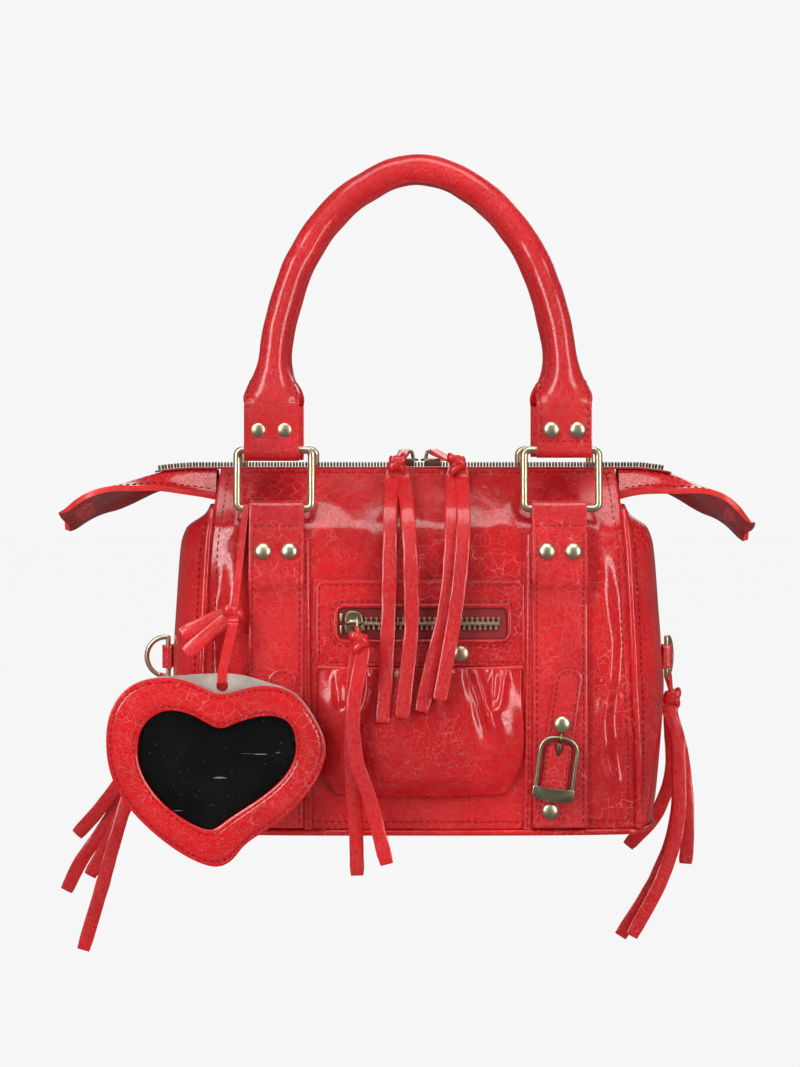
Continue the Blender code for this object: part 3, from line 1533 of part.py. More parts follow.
def make_d_ring(side):
    bar = d_ring_bar(side)
    out = d_ring_outward(side)
    upward = Vector((0, 0, 1))
    path = []
    for step in range(11):
        angle = math.pi * (0.5 - step / 10)
        path.append(
            bar + D_RING_RADIUS * (D_RING_STRETCH * math.cos(angle) * out + math.sin(angle) * upward)
        )
    path += [bar - 0.5 * D_RING_RADIUS * upward, bar + 0.5 * D_RING_RADIUS * upward]
    return closed_tube(path, D_RING_WIRE_RADIUS, upward.cross(out).normalized(), 8)


def make_d_tab(side):
    """A leather keeper sewn on the gusset that arches over the ring's straight bar."""
    bar = d_ring_bar(side)
    out = Vector((side, 0, 0))
    near = D_RING_WIRE_RADIUS + HINGE_GAP
    stations = []
    flat = [-D_TAB_REACH, -0.62 * D_TAB_REACH]
    middle = []
    for y in flat:
        middle.append((y, None))
    for step in range(9):
        middle.append((None, math.pi * (1 - step / 8)))
    for y in reversed(flat):
        middle.append((-y, None))
    for y, angle in middle:
        rows = []
        for extra in (0, D_TAB_LEATHER):
            row = []
            for z in (-D_TAB_HEIGHT / 2, D_TAB_HEIGHT / 2):
                share = share_at(-D_RING_DROP + z)
                if angle is None:
                    depth = plan_sizes(share)[3]
                    ground = gusset_point(y / depth, share, side).x
                    point = Vector((ground, y, -D_RING_DROP + z)) + (2 * GAP + extra) * out
                else:
                    radius = near + extra
                    point = Vector((bar.x, bar.y, -D_RING_DROP + z))
                    point += radius * (math.sin(angle) * out + math.cos(angle) * Vector((0, 1, 0)))
                row.append(point)
            rows.append(row)
        stations.append(tuple(rows))
    return strip_solid(stations)


def make_sides(leather, brass):
    for hand, side, shares in (("left", -1, LEFT_TASSEL_SHARES), ("right", 1, RIGHT_TASSEL_SHARES)):
        ring_axis = add_joint(f"{hand}_d_ring_axis", d_ring_bar(side))
        add_object(f"{hand}_d_ring", make_d_ring(side), brass, ring_axis)
        add_object(f"{hand}_d_ring_tab", make_d_tab(side), leather)
        out = d_ring_outward(side)
        upward = Vector((0, 0, 1))
        bar = d_ring_bar(side) + D_RING_RADIUS * (
            D_RING_STRETCH * math.cos(TASSEL_ON_RING) * out + math.sin(TASSEL_ON_RING) * upward
        )
        tangent = -D_RING_STRETCH * math.sin(TASSEL_ON_RING) * out + math.cos(TASSEL_ON_RING) * upward
        knot = bar + Vector((side * 0.5 * KNOT_RADIUS, 0, -2.4 * KNOT_RADIUS))
        joint = add_joint(f"{hand}_tassel_axis", bar)
        tails = free_tails(bar, shares, SIDE_TASSEL_LENGTH, side)
        tassel = make_tassel(bar, D_RING_WIRE_RADIUS, tangent, knot, tails, (0, -1, 0), NARROW_LOOP_WIDTH)
        add_object(f"{hand}_side_tassel", tassel, leather, joint)


def heart_loop(cleft, right_side, left_side, tip=(0, 0)):
    """A closed heart outline in its own plane, from its cleft round its right side to its tip and back."""
    points = []
    for route in ((cleft,) + right_side + (tip,), (tip,) + tuple(reversed(left_side)) + (cleft,)):
        positions = list(range(len(route)))
        for i in range(HEART_STEPS):
            at = (len(route) - 1) * i / HEART_STEPS
            x = HEART_HALF_WIDTH * interpolate(positions, [share[0] for share in route], at)
            z = HEART_HEIGHT * interpolate(positions, [share[1] for share in route], at)
            points.append(Vector((x, 0, z)))
    return points


def widened(points, distance):
    """The outline moved outwards by a distance."""
    moved = []
    count = len(points)
    for i, point in enumerate(points):
        tangent = (points[(i + 1) % count] - points[i - 1]).normalized()
        moved.append(point + distance * Vector((-tangent.z, 0, tangent.x)))
    return moved


def hang_heart(points, depth):
    """Puts flat heart points at the charm's place, at a depth in front of the bag's middle plane."""
    return [Vector((-HEART_TIP_ACROSS + point.x, -depth, -HEART_TIP_DROP + point.z)) for point in points]


def ring_plate(outer, inner, depth, thickness):
    """A flat ring between two outlines of equally many points."""
    levels = (
        hang_heart(outer, depth),
        hang_heart(outer, depth + thickness),
        hang_heart(inner, depth + thickness),
        hang_heart(inner, depth),
    )
    return loft([list(ring) for ring in zip(*levels)], closed=False)


def heart_plate(points, depth, thickness):
    return loft([hang_heart(points, depth), hang_heart(points, depth + thickness)])


def heart_hole():
    x = -HEART_TIP_ACROSS + HEART_HOLE_SHARES[0] * HEART_HALF_WIDTH
    return Vector((x, -HEART_BACK_DEPTH, -HEART_TIP_DROP + HEART_HOLE_SHARES[1] * HEART_HEIGHT))


def make_charm(leather, suede, mirror):
    outer = heart_loop(HEART_CLEFT_SHARES, HEART_RIGHT_SHARES, HEART_LEFT_SHARES)
    window = heart_loop(MIRROR_CLEFT_SHARES, MIRROR_RIGHT_SHARES, MIRROR_LEFT_SHARES, MIRROR_TIP_SHARES)
    hole = heart_hole()
    overrun = Vector((0, CUT_OVERRUN, 0))
    back_outline = heart_loop(BACK_CLEFT_SHARES, BACK_RIGHT_SHARES, BACK_LEFT_SHARES)
    back = heart_plate(back_outline, HEART_BACK_DEPTH, HEART_BACK_THICKNESS)
    cutter = cylinder_between(hole + overrun, hole - overrun, HEART_HOLE_RADIUS, SEGMENTS_FINE)
    swing = add_joint("heart_axis", hole)
    add_object("heart_back", combine(back, cutter, "DIFFERENCE"), suede, swing)
    mirror_depth = HEART_BACK_DEPTH + HEART_BACK_THICKNESS + GAP
    plate = heart_plate(widened(window, HEART_MIRROR_LAP), mirror_depth, HEART_MIRROR_THICKNESS)
    add_object("heart_mirror", plate, mirror, swing)
    frame_depth = mirror_depth + HEART_MIRROR_THICKNESS + GAP
    frame = ring_plate(outer, window, frame_depth, HEART_FRAME_THICKNESS)
    add_object("heart_frame", frame, leather, swing)
    make_charm_lace(leather, hole)


def charm_bar():
    """The stretch of the left ring's lower bar beside the strap, which the charm's lace goes round."""
    bar = ring_bar(-1)[0]
    straight_end = RING_CENTRE + RING_OUTER_WIDTH / 2 - RING_CORNER_RADIUS
    strap_edge = STRAP_CENTRE + STRAP_HALF_WIDTH
    return Vector((-(straight_end + strap_edge) / 2, bar.y, bar.z)), straight_end - strap_edge


def make_charm_lace(leather, hole):
    bar, room = charm_bar()
    knot = Vector([bar[k] + CHARM_KNOT_SHARES[k] * (hole[k] - bar[k]) for k in range(3)])
    shape = union(
        ball(knot, (1.15 * KNOT_RADIUS, KNOT_RADIUS, 1.15 * KNOT_RADIUS)),
        lace_loop(bar, RING_WIRE_RADIUS, (1, 0, 0), knot, room - 2 * GAP),
    )
    for route in free_tails(knot, CHARM_TAIL_SHARES, CHARM_TAIL_LENGTH, -1):
        places = smooth_route((tuple(knot),) + route, 2 * len(route))
        shape = union(shape, ribbon(places, LACE_WIDTH, LACE_THICKNESS, CHARM_FACE_SHARES))
    clear = 2 * GAP + LACE_THICKNESS / 2
    front_y = hole.y - HEART_BACK_THICKNESS - clear
    back_y = hole.y + clear
    edge = -HEART_TIP_DROP + BACK_CLEFT_SHARES[1] * HEART_HEIGHT
    inside = hole.z + LACE_THICKNESS / 2
    below_knot = knot.z - KNOT_RADIUS
    apart = Vector((0, LACE_THICKNESS, 0))
    places = [
        knot - apart,
        Vector((knot.x, front_y, below_knot)),
        Vector((hole.x, front_y, edge)),
        Vector((hole.x, front_y, inside)),
        Vector((hole.x, back_y, inside)),
        Vector((hole.x, back_y, edge)),
        Vector((knot.x, back_y, below_knot)),
        knot + apart,
    ]
    joint = add_joint("charm_axis", bar)
    shape = union(shape, ribbon_loop(places, HEART_HOLE_RADIUS, LACE_THICKNESS))
    add_object("charm_lace", shape, leather, joint)


def ribbon_loop(places, width, thickness):
    """A lace that runs through the heart's hole, its face square to its own plane."""
    rings = []
    last = len(places) - 1
    across = Vector((1, 0, 0))
    for i, place in enumerate(places):
        before = (place - places[max(i - 1, 0)]).normalized() if i else Vector((0, 0, 0))
        after = (places[min(i + 1, last)] - place).normalized() if i < last else Vector((0, 0, 0))
        tangent = (before + after).normalized()
        out = across.cross(tangent).normalized()
        side = tangent.cross(out).normalized()
        stretch = 1 / max((before + after).length / 2, 0.7) if 0 < i < last else 1
        ring = []
        for a, b in ((-1, -1), (1, -1), (1, 1), (-1, 1)):
            ring.append(place + a * width / 2 * side + b * stretch * thickness / 2 * out)
        rings.append(ring)
    return loft(rings)


def main():
    clear_scene()
    leather = make_material("red_leather", RED, 0.25, 0)
    dark_leather = make_material("dark_leather", DARK_RED, 0.3, 0)
    tape = make_material("zip_tape", TAPE_RED, 0.8, 0)
    brass = make_material("pale_brass", BRASS, 0.35, 1)
    dark_brass = make_material("dark_brass", DARK_BRASS, 0.4, 1)
    mirror = make_material("mirror", MIRROR, 0.05, 1)
    suede = make_material("suede", SUEDE, 0.9, 0)
    board = make_material("board", BOARD, 0.9, 0)
    cloth = make_material("lining_cloth", CLOTH, 0.9, 0)
    make_body(leather, dark_leather, tape, dark_brass, board, cloth)
    make_straps_and_handles(leather, cloth, brass)
    make_pocket(leather, tape, brass)
    make_zips_and_pulls(leather, brass, dark_brass)
    make_tabs(leather, brass, dark_brass)
    make_sides(leather, brass)
    make_charm(leather, suede, mirror)


main()
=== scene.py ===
# A small zip-top handbag in crinkled red patent leather, dressed over its measured frame.
import math

import bmesh
import bpy
from mathutils import Matrix, Vector, noise


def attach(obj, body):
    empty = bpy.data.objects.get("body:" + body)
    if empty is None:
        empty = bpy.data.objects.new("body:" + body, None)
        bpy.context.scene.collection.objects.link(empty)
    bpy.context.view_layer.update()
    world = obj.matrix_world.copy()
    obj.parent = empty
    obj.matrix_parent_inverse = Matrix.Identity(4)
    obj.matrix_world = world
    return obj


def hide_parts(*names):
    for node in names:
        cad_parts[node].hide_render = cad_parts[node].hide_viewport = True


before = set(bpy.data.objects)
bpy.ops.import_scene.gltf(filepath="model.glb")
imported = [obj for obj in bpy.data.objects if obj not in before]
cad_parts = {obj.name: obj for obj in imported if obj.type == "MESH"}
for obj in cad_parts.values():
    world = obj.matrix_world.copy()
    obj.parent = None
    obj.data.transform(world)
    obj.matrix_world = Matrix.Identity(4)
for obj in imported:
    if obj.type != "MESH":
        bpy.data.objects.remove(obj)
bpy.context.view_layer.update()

rightward = Vector((1, 0, 0))
upward = Vector((0, 0, 1))
forward = Vector((0, -1, 0))
hands = (("left", -1), ("right", 1))
faces = (("front", -1), ("back", 1))

# how the bag's plan changes with height, in metres and in shares of its height

bagForm = {
    "bottom": -0.3092,
    "height": 0.171,
    "seamHalf": 0.104,
    "gussetHalf": 0.119,
    "halfDepth": 0.050,
    "leather": 0.0018,
    "heights": (0, 0.17, 0.40, 0.62, 0.78, 0.83, 0.87, 0.93, 1),
    "seamShares": (1, 1, 0.985, 0.97, 0.958, 0.95, 0.94, 0.93, 0.913),
    "gussetShares": (0.955, 0.98, 1, 0.985, 0.965, 0.94, 0.86, 0.83, 0.805),
    "depthShares": (1, 1, 0.97, 0.90, 0.80, 0.74, 0.64, 0.46, 0.23),
    "seamDepthShares": (0.88, 0.88, 0.87, 0.86, 0.86, 0.87, 0.89, 0.93, 0.98),
    "gussetTop": 0.895,
    "fold": 0.0021,
    "crease": 0.0011,
    "drape": 0.0019,
    "ridgeAcross": 0.0890,
    "ridgeWidth": 0.0034,
    "grooveAcross": 0.0950,
    "grooveWidth": 0.0026,
    "drapeFoot": (-0.300, -0.272),
    "drapeTop": (-0.205, -0.175),
    "strapInner": (0.047, 0.053),
    "strapOuter": (0.081, 0.086),
    "pocketSide": (0.047, 0.054),
    "pocketTop": (-0.193, -0.186),
    "gussetFold": 0.0011,
    "gussetCrease": 0.0006,
    "gussetHollow": 0.0026,
}


def steps(count, start=0, end=1):
    # evenly spaced values, both ends included
    return [start + (end - start) * k / count for k in range(count + 1)]


def between(positions, values, at):
    # a smooth curve through the values that never overshoots
    last = len(positions) - 1
    at = min(max(at, positions[0]), positions[last])
    index = 0
    while index < last - 1 and at > positions[index + 1]:
        index += 1
    slopes = [(values[i + 1] - values[i]) / (positions[i + 1] - positions[i]) for i in range(last)]

    def tangent(i):
        before, after = slopes[max(i - 1, 0)], slopes[min(i, last - 1)]
        if i in (0, last):
            return after
        return 0 if before * after <= 0 else 2 * before * after / (before + after)

    width = positions[index + 1] - positions[index]
    t = (at - positions[index]) / width
    leaving, arriving = tangent(index) * width, tangent(index + 1) * width
    near = (2 * t**3 - 3 * t**2 + 1) * values[index] + (t**3 - 2 * t**2 + t) * leaving
    return near + (3 * t**2 - 2 * t**3) * values[index + 1] + (t**3 - t**2) * arriving


def smoothStep(low, high, at):
    t = min(max((at - low) / (high - low), 0), 1)
    return t * t * (3 - 2 * t)


def bell(distance, width):
    return math.exp(-((distance / width) ** 2))


def turnedTo(x, y, z, place):
    # the transform that turns the axes to three directions at a place
    turn = Matrix((x, y, z)).transposed().to_4x4()
    turn.translation = place
    return turn


def arc(count, start, end):
    # (cosine, sine) pairs of evenly spaced angles, given in half turns
    return [(math.cos(math.pi * at), math.sin(math.pi * at)) for at in steps(count, start, end)]


def planAt(up):
    f = bagForm
    seam = f["seamHalf"] * between(f["heights"], f["seamShares"], up)
    gusset = f["gussetHalf"] * between(f["heights"], f["gussetShares"], up)
    depth = f["halfDepth"] * between(f["heights"], f["depthShares"], up)
    return seam, gusset, depth, depth * between(f["heights"], f["seamDepthShares"], up)


def heightShare(z):
    return (z - bagForm["bottom"]) / bagForm["height"]


def levelAt(up):
    return bagForm["bottom"] + bagForm["height"] * up


def plainPanel(x, z, facing=-1):
    seam, gusset, depth, seamDepth = planAt(heightShare(z))
    across = min(max(x / seam, -1), 1)
    return Vector((x, facing * (seamDepth + (depth - seamDepth) * (1 - across**4)), z))


def panelNormal(x, z, facing=-1, step=0.0008):
    z = min(max(z, levelAt(0) + step), levelAt(1) - step)
    wide = plainPanel(x + step, z, facing) - plainPanel(x - step, z, facing)
    tall = plainPanel(x, z + step, facing) - plainPanel(x, z - step, facing)
    normal = wide.cross(tall).normalized()
    return normal if normal.y * facing > 0 else -normal


def foldHeight(x, z, facing):
    # soft sags, drawn creases and a fold beside each strap, fading out at seams, base and zip
    f = bagForm
    up = heightShare(z)
    out = abs(x)
    seam = planAt(min(max(up, 0), 1))[0]
    fade = smoothStep(0, 0.10, up) * (1 - smoothStep(0.90, 1, up)) * (1 - smoothStep(0.86, 1, out / seam))
    strapped = smoothStep(*f["strapInner"], out) * (1 - smoothStep(*f["strapOuter"], out))
    fade *= 1 - 0.88 * strapped
    if facing < 0:
        pocketed = (1 - smoothStep(*f["pocketSide"], out)) * (1 - smoothStep(*f["pocketTop"], z))
        fade *= 1 - 0.92 * pocketed
    soft = noise.noise(Vector((x * 17, facing * 3.1, z * 13)))
    drawn = 1 - 2.4 * abs(noise.noise(Vector((x * 46 + 0.7 * soft, facing * 1.7, z * 19 + 5.3))))
    lines = 1 - 3 * abs(noise.noise(Vector((x * 30 + z * 21, facing * 4.3, z * 34 - x * 12))))
    height = f["fold"] * soft + f["crease"] * (max(drawn, 0) + 0.6 * max(lines, 0) - 0.5)
    ridge = out - f["ridgeAcross"] - 0.0022 * math.sin(z * 95 + 2 * facing)
    groove = out - f["grooveAcross"] - 0.0016 * math.sin(z * 80)
    shown = smoothStep(*f["drapeFoot"], z) * (1 - smoothStep(*f["drapeTop"], z))
    fold = bell(ridge, f["ridgeWidth"]) - 0.6 * bell(groove, f["grooveWidth"])
    return fade * height + shown * f["drape"] * fold


def onPanel(x, z, facing=-1, lift=0):
    return plainPanel(x, z, facing) + (lift + foldHeight(x, z, facing)) * panelNormal(x, z, facing)


def gussetPlace(along, up, side):
    seam, gusset, depth, seamDepth = planAt(up)
    return Vector((side * (seam + (gusset - seam) * (1 - abs(along) ** 2.5)), seamDepth * along, levelAt(up)))


def gussetNormal(along, up, side, step=0.01):
    a, b = max(along - step, -1), min(along + step, 1)
    low, high = max(up - step, 0), min(up + step, 1)
    wide = gussetPlace(b, up, side) - gussetPlace(a, up, side)
    tall = gussetPlace(along, high, side) - gussetPlace(along, low, side)
    normal = wide.cross(tall).normalized()
    return normal if normal.x * side > 0 else -normal


def onGusset(along, up, side, lift=0):
    f = bagForm
    place = gussetPlace(along, up, side)
    level = smoothStep(0, 0.1, up) * (1 - smoothStep(0.86, f["gussetTop"], up))
    fade = (1 - smoothStep(0.80, 1, abs(along))) * level
    soft = noise.noise(Vector((place.y * 24, side * 2.3, place.z * 15)))
    drawn = 1 - 2.6 * abs(noise.noise(Vector((place.y * 40, side * 5.1, place.z * 22))))
    sunk = f["gussetHollow"] * bell(along, 0.16) * smoothStep(0.25, 0.75, up)
    height = fade * (f["gussetFold"] * soft + f["gussetCrease"] * max(drawn, 0) - sunk)
    return place + (lift + height) * gussetNormal(along, up, side)


# making and keeping pieces


def placeObject(name, data):
    holder = bpy.data.objects.new(name, data)
    bpy.context.scene.collection.objects.link(holder)
    return holder


def meshFrom(name, shape):
    mesh = bpy.data.meshes.new(name)
    shape.to_mesh(mesh)
    shape.free()
    return placeObject(name, mesh)


def keepPiece(name, shape, finishes, body="bag", stands=(), slot="red_leather", smooth=60, wall=0, **walled):
    piece = meshFrom(name, shape)
    for finish in finishes:
        piece.data.materials.append(finish)
    piece.data.shade_smooth()
    if smooth < 180:
        piece.data.set_sharp_from_angle(angle=math.radians(smooth))
    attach(piece, body)
    if stands:
        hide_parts(*stands)
    if wall:
        thicken(piece, wall, **walled)
    return piece


def keepMetal(name, shape, stands=(), finish=None, slot="pale_brass", **kept):
    keepPiece(name, shape, [finish or brassFinish], stands=stands, slot=slot, **kept)


def keepThread(name, shape, body="bag"):
    keepPiece(name, shape, [threadFinish], body=body, smooth=38)


def easeEdges(piece, width, segments=2, limit=30):
    soft = piece.modifiers.new("edge", "BEVEL")
    soft.width = width
    soft.segments = segments
    soft.limit_method = "ANGLE"
    soft.angle_limit = math.radians(limit)


def thicken(piece, thickness, rim=1, inner=0, edge=0.0003, segments=2):
    solid = piece.modifiers.new("wall", "SOLIDIFY")
    solid.thickness = thickness
    solid.offset = -1
    solid.use_even_offset = False
    solid.material_offset_rim = rim
    solid.material_offset = inner
    if edge:
        easeEdges(piece, edge, segments, 50)


def turnOutwards(shape, outward):
    shape.normal_update()
    if sum(face.normal.dot(outward(face.calc_center_median())) for face in shape.faces) < 0:
        bmesh.ops.reverse_faces(shape, faces=shape.faces)


def sheetShape(columns, rows, placeAt, outward=None):
    # a grid laid out by a function of two values from -1 to 1, which its UV map keeps
    shape = bmesh.new()
    bmesh.ops.create_grid(shape, x_segments=columns, y_segments=rows, size=1)
    layer = shape.loops.layers.uv.new("cloth")
    for face in shape.faces:
        for loop in face.loops:
            loop[layer].uv = (loop.vert.co.x, loop.vert.co.y)
    for vertex in shape.verts:
        vertex.co = placeAt(vertex.co.x, vertex.co.y)
    if outward is not None:
        turnOutwards(shape, outward)
    return shape


def weld(shape, distance):
    bmesh.ops.remove_doubles(shape, verts=shape.verts, dist=distance)


def towards(direction):
    return lambda place: direction


def joinRings(shape, one, two):
    edges = []
    for ring in (set(one), set(two)):
        edges += {edge for vertex in ring for edge in vertex.link_edges if edge.other_vert(vertex) in ring}
    bmesh.ops.bridge_loops(shape, edges=edges)


def skinRings(shape, rings, closed=False):
    # joins rings of vertices one after the other, and caps the ends of an open run
    pairs = zip(rings, rings[1:] + rings[:1]) if closed else zip(rings, rings[1:])
    for one, two in pairs:
        joinRings(shape, one, two)
    if not closed:
        for ring in (rings[0], rings[-1]):
            bmesh.ops.contextual_create(shape, geom=ring)
    return shape


def placedRing(shape, places):
    ring = bmesh.ops.create_circle(shape, segments=len(places), radius=1)["verts"]
    for vertex, place in zip(ring, places):
        vertex.co = place
    return ring


def tubeShape(route, radius, sides=10, closed=False, flat=1, shape=None, seed=None):
    # a round or flattened cord swept along a route; radius may be a list
    shape = shape or bmesh.new()
    count = len(route)
    rings = []
    side = seed
    for i, place in enumerate(route):
        if closed:
            tangent = (route[(i + 1) % count] - route[i - 1]).normalized()
        else:
            tangent = (route[min(i + 1, count - 1)] - route[max(i - 1, 0)]).normalized()
        side = side or tangent.orthogonal()
        side = (side - side.dot(tangent) * tangent).normalized()
        reach = radius[i] if isinstance(radius, list) else radius
        matrix = turnedTo(side, tangent.cross(side), tangent, place) @ Matrix.Diagonal((1, flat, 1, 1))
        rings.append(bmesh.ops.create_circle(shape, segments=sides, radius=reach, matrix=matrix)["verts"])
    return skinRings(shape, rings, closed)


def addBlock(shape, turn, size, width, segments=1):
    # a small block with bevelled edges
    made = bmesh.ops.create_cube(shape, size=1, matrix=turn @ Matrix.Diagonal((*size, 1)))
    edges = list({edge for vertex in made["verts"] for edge in vertex.link_edges})
    bmesh.ops.bevel(
        shape, geom=edges, offset=width, segments=segments, profile=0.5, affect="EDGES", material=-1
    )


# finishes

print("finishes")


class Nodes:
    # short words for the nodes of a material or a world
    def __init__(self, tree):
        self.tree = tree

    def add(self, kind, **settings):
        node = self.tree.nodes.new(f"ShaderNode{kind}")
        for key, value in settings.items():
            if key in node.inputs:
                node.inputs[key].default_value = value
            else:
                setattr(node, key, value)
        return node

    def feed(self, socket, value):
        if isinstance(value, (int, float)):
            socket.default_value = value
        elif isinstance(value, tuple):
            socket.default_value = (*value, 1)
        else:
            self.tree.links.new(value, socket)

    def maths(self, operation, *values):
        node = self.add("Math", operation=operation)
        for socket, value in zip(node.inputs, values):
            self.feed(socket, value)
        return node.outputs[0]

    def times(self, a, b):
        return self.maths("MULTIPLY", a, b)

    def minus(self, a, b):
        return self.maths("SUBTRACT", a, b)

    def larger(self, a, b):
        return self.maths("MAXIMUM", a, b)

    def ramp(self, value, low, high, outLow=0.0, outHigh=1.0):
        node = self.add("MapRange", interpolation_type="SMOOTHSTEP")
        settings = {"Value": value, "From Min": low, "From Max": high, "To Min": outLow, "To Max": outHigh}
        for key, setting in settings.items():
            self.feed(node.inputs[key], setting)
        return node.outputs[0]

    def mix(self, factor, a, b):
        node = self.add("Mix", data_type="RGBA")
        for key, value in (("Factor", factor), ("A", a), ("B", b)):
            self.feed(node.inputs[key], value)
        return node.outputs["Result"]


class Finish(Nodes):
    # a material whose patterns follow the piece's own coordinates
    def __init__(self, name, colour, roughness, **settings):
        self.material = bpy.data.materials.new(name)
        self.material.use_nodes = True
        super().__init__(self.material.node_tree)
        self.shader = self.tree.nodes["Principled BSDF"]
        self.place = self.add("TexCoord").outputs["Object"]
        self.give("Base Color", colour)
        self.give("Roughness", roughness)
        for key, value in settings.items():
            self.give(key.replace("_", " "), value)

    def give(self, key, value):
        self.feed(self.shader.inputs[key], value)

    def noise(self, scale, detail=3.0, roughness=0.5, at=None, output="Fac"):
        node = self.add("TexNoise", Scale=scale, Detail=detail, Roughness=roughness)
        self.feed(node.inputs["Vector"], at or self.place)
        return node.outputs[output]

    def bump(self, height, strength, distance):
        node = self.add("Bump", Strength=strength, Distance=distance)
        self.feed(node.inputs["Height"], height)
        self.give("Normal", node.outputs["Normal"])


leatherLook = {
    "vein": (0.86, 0.125, 0.115),
    "darkCrack": (0.20, 0.002, 0.004),
    "cells": ((185, 0.025, 0.42), (350, 0.030, 0.30), (700, 0.038, 0.16)),
    "patches": ((24, 0.45, 0.60), (38, 0.49, 0.63), (52, 0.53, 0.68)),
    "coat": 0.55,
    "coatRoughness": 0.11,
}


def leatherFinish(name, red, deepRed, veins=1.0, roughness=0.185, crinkle=1.0, scale=1.0, cracked=1.0):
    look = leatherLook
    f = Finish(name, red, roughness, Coat_Weight=look["coat"], Coat_Roughness=look["coatRoughness"])
    shifted = f.add("VectorMath", operation="MULTIPLY_ADD")
    f.feed(shifted.inputs[0], f.noise(75 * scale, output="Color"))
    shifted.inputs[1].default_value = (0.0075 / scale,) * 3
    f.feed(shifted.inputs[2], f.place)
    lines = []
    for size, width, depth in look["cells"]:
        cells = f.add("TexVoronoi", feature="DISTANCE_TO_EDGE", Scale=size * scale)
        f.feed(cells.inputs["Vector"], shifted.outputs[0])
        lines.append(f.ramp(cells.outputs["Distance"], 0.0, width, 1.0, 0.0))
    patches = [f.ramp(f.noise(size * scale, 2), low, high) for size, low, high in look["patches"]]
    shown = [f.times(line, patch) for line, patch in zip(lines, patches)]
    veinMask = f.larger(f.larger(shown[0], f.times(shown[1], 0.8)), f.times(shown[2], 0.45))
    base = f.mix(f.ramp(f.noise(14, 4), 0.35, 0.68), deepRed, red)
    cracks = f.times(f.times(lines[1], 0.50 * cracked), f.minus(1.0, patches[1]))
    base = f.mix(cracks, base, look["darkCrack"])
    f.give("Base Color", f.mix(f.times(veinMask, 0.72 * veins), base, look["vein"]))
    haze = f.ramp(f.noise(330 * scale, 2), 0.3, 0.7, roughness - 0.05, roughness + 0.09)
    f.give("Roughness", f.maths("ADD", haze, f.times(veinMask, 0.16)))
    height = f.times(f.noise(95 * scale, at=shifted.outputs[0]), 1.1)
    for line, (size, width, depth) in zip(lines, look["cells"]):
        height = f.minus(height, f.times(line, depth))
    height = f.maths("ADD", height, f.times(f.noise(900 * scale, 2), 0.14))
    f.bump(height, 0.55 * crinkle, 0.0006)
    return f.material


def paintFinish(name, colour):
    f = Finish(name, colour, 0.34)
    f.give("Base Color", f.mix(f.ramp(f.noise(180), 0.35, 0.7), tuple(c * 0.80 for c in colour), colour))
    f.bump(f.noise(420), 0.35, 0.0004)
    return f.material


def metalFinish(name, colour, worn, dark, roughness):
    f = Finish(name, colour, roughness, Metallic=1.0)
    cloud = f.noise(170, 5, 0.62)
    speck = f.noise(900, 4, 0.7)
    base = f.mix(f.ramp(cloud, 0.42, 0.66), colour, worn)
    f.give("Base Color", f.mix(f.ramp(speck, 0.60, 0.74, 0.0, 0.30), base, dark))
    f.give("Roughness", f.ramp(cloud, 0.3, 0.7, roughness + 0.10, roughness - 0.04))
    f.bump(speck, 0.18, 0.0002)
    return f.material


def clothFinish(name, colour, dark, threads):
    # crossed threads on the piece's own UV map
    f = Finish(name, colour, 0.8, Sheen_Weight=0.25)
    split = f.add("SeparateXYZ")
    f.feed(split.inputs[0], f.add("UVMap", uv_map="cloth").outputs["UV"])
    waves = []
    for socket, count in zip(split.outputs, threads):
        waves.append(f.maths("ABSOLUTE", f.maths("SINE", f.times(socket, count * math.pi))))
    weave = f.larger(waves[0], waves[1])
    f.give("Base Color", f.mix(f.ramp(weave, 0.35, 1.0), dark, colour))
    f.bump(weave, 0.7, 0.0004)
    return f.material


def suedeFinish():
    f = Finish("greySuede", (0.46, 0.41, 0.36), 0.95, Sheen_Weight=0.4)
    nap = f.noise(1400, 4, 0.7)
    base = f.mix(f.ramp(f.noise(120), 0.35, 0.7), (0.36, 0.315, 0.27), (0.52, 0.465, 0.41))
    f.give("Base Color", f.mix(f.ramp(nap, 0.4, 0.7, 0, 0.4), base, (0.24, 0.205, 0.17)))
    f.bump(nap, 0.5, 0.0004)
    return f.material


def boardFinish():
    f = Finish("baseBoard", (0.10, 0.09, 0.08), 0.8)
    f.give("Base Color", f.mix(f.noise(300, 4), (0.07, 0.06, 0.055), (0.15, 0.13, 0.115)))
    return f.material


def mirrorFinish():
    # a mirror drawn as dark glass: its near-black colour is a painted dark reflection, with paler clouds of
    # painted reflection, faint scratches and dust
    f = Finish("darkMirror", (0.012, 0.012, 0.013), 0.08, Specular_IOR_Level=0.22)
    marks = f.ramp(f.noise(1500, 1), 0.775, 0.80)
    scratches = ((0.5, (24, 1, 260), 0.700), (-0.9, (30, 1, 300), 0.712), (0.1, (40, 1, 340), 0.722))
    for turn, scale, low in scratches:
        turned = f.add("Mapping", Rotation=(0, turn, 0), Scale=scale)
        f.feed(turned.inputs["Vector"], f.place)
        marks = f.larger(marks, f.ramp(f.noise(1.0, 2, 0.6, turned.outputs[0]), low, low + 0.03))
    # glow: paler clouds of painted reflection over the near-black colour
    glow = f.ramp(f.noise(30, 2), 0.4, 0.8, 0.0, 0.35)
    base = f.mix(glow, (0.004, 0.004, 0.0045), (0.016, 0.016, 0.017))
    f.give("Base Color", f.mix(f.times(marks, 0.65), base, (0.32, 0.32, 0.34)))
    f.give("Roughness", f.ramp(marks, 0, 1, 0.07, 0.5))
    return f.material


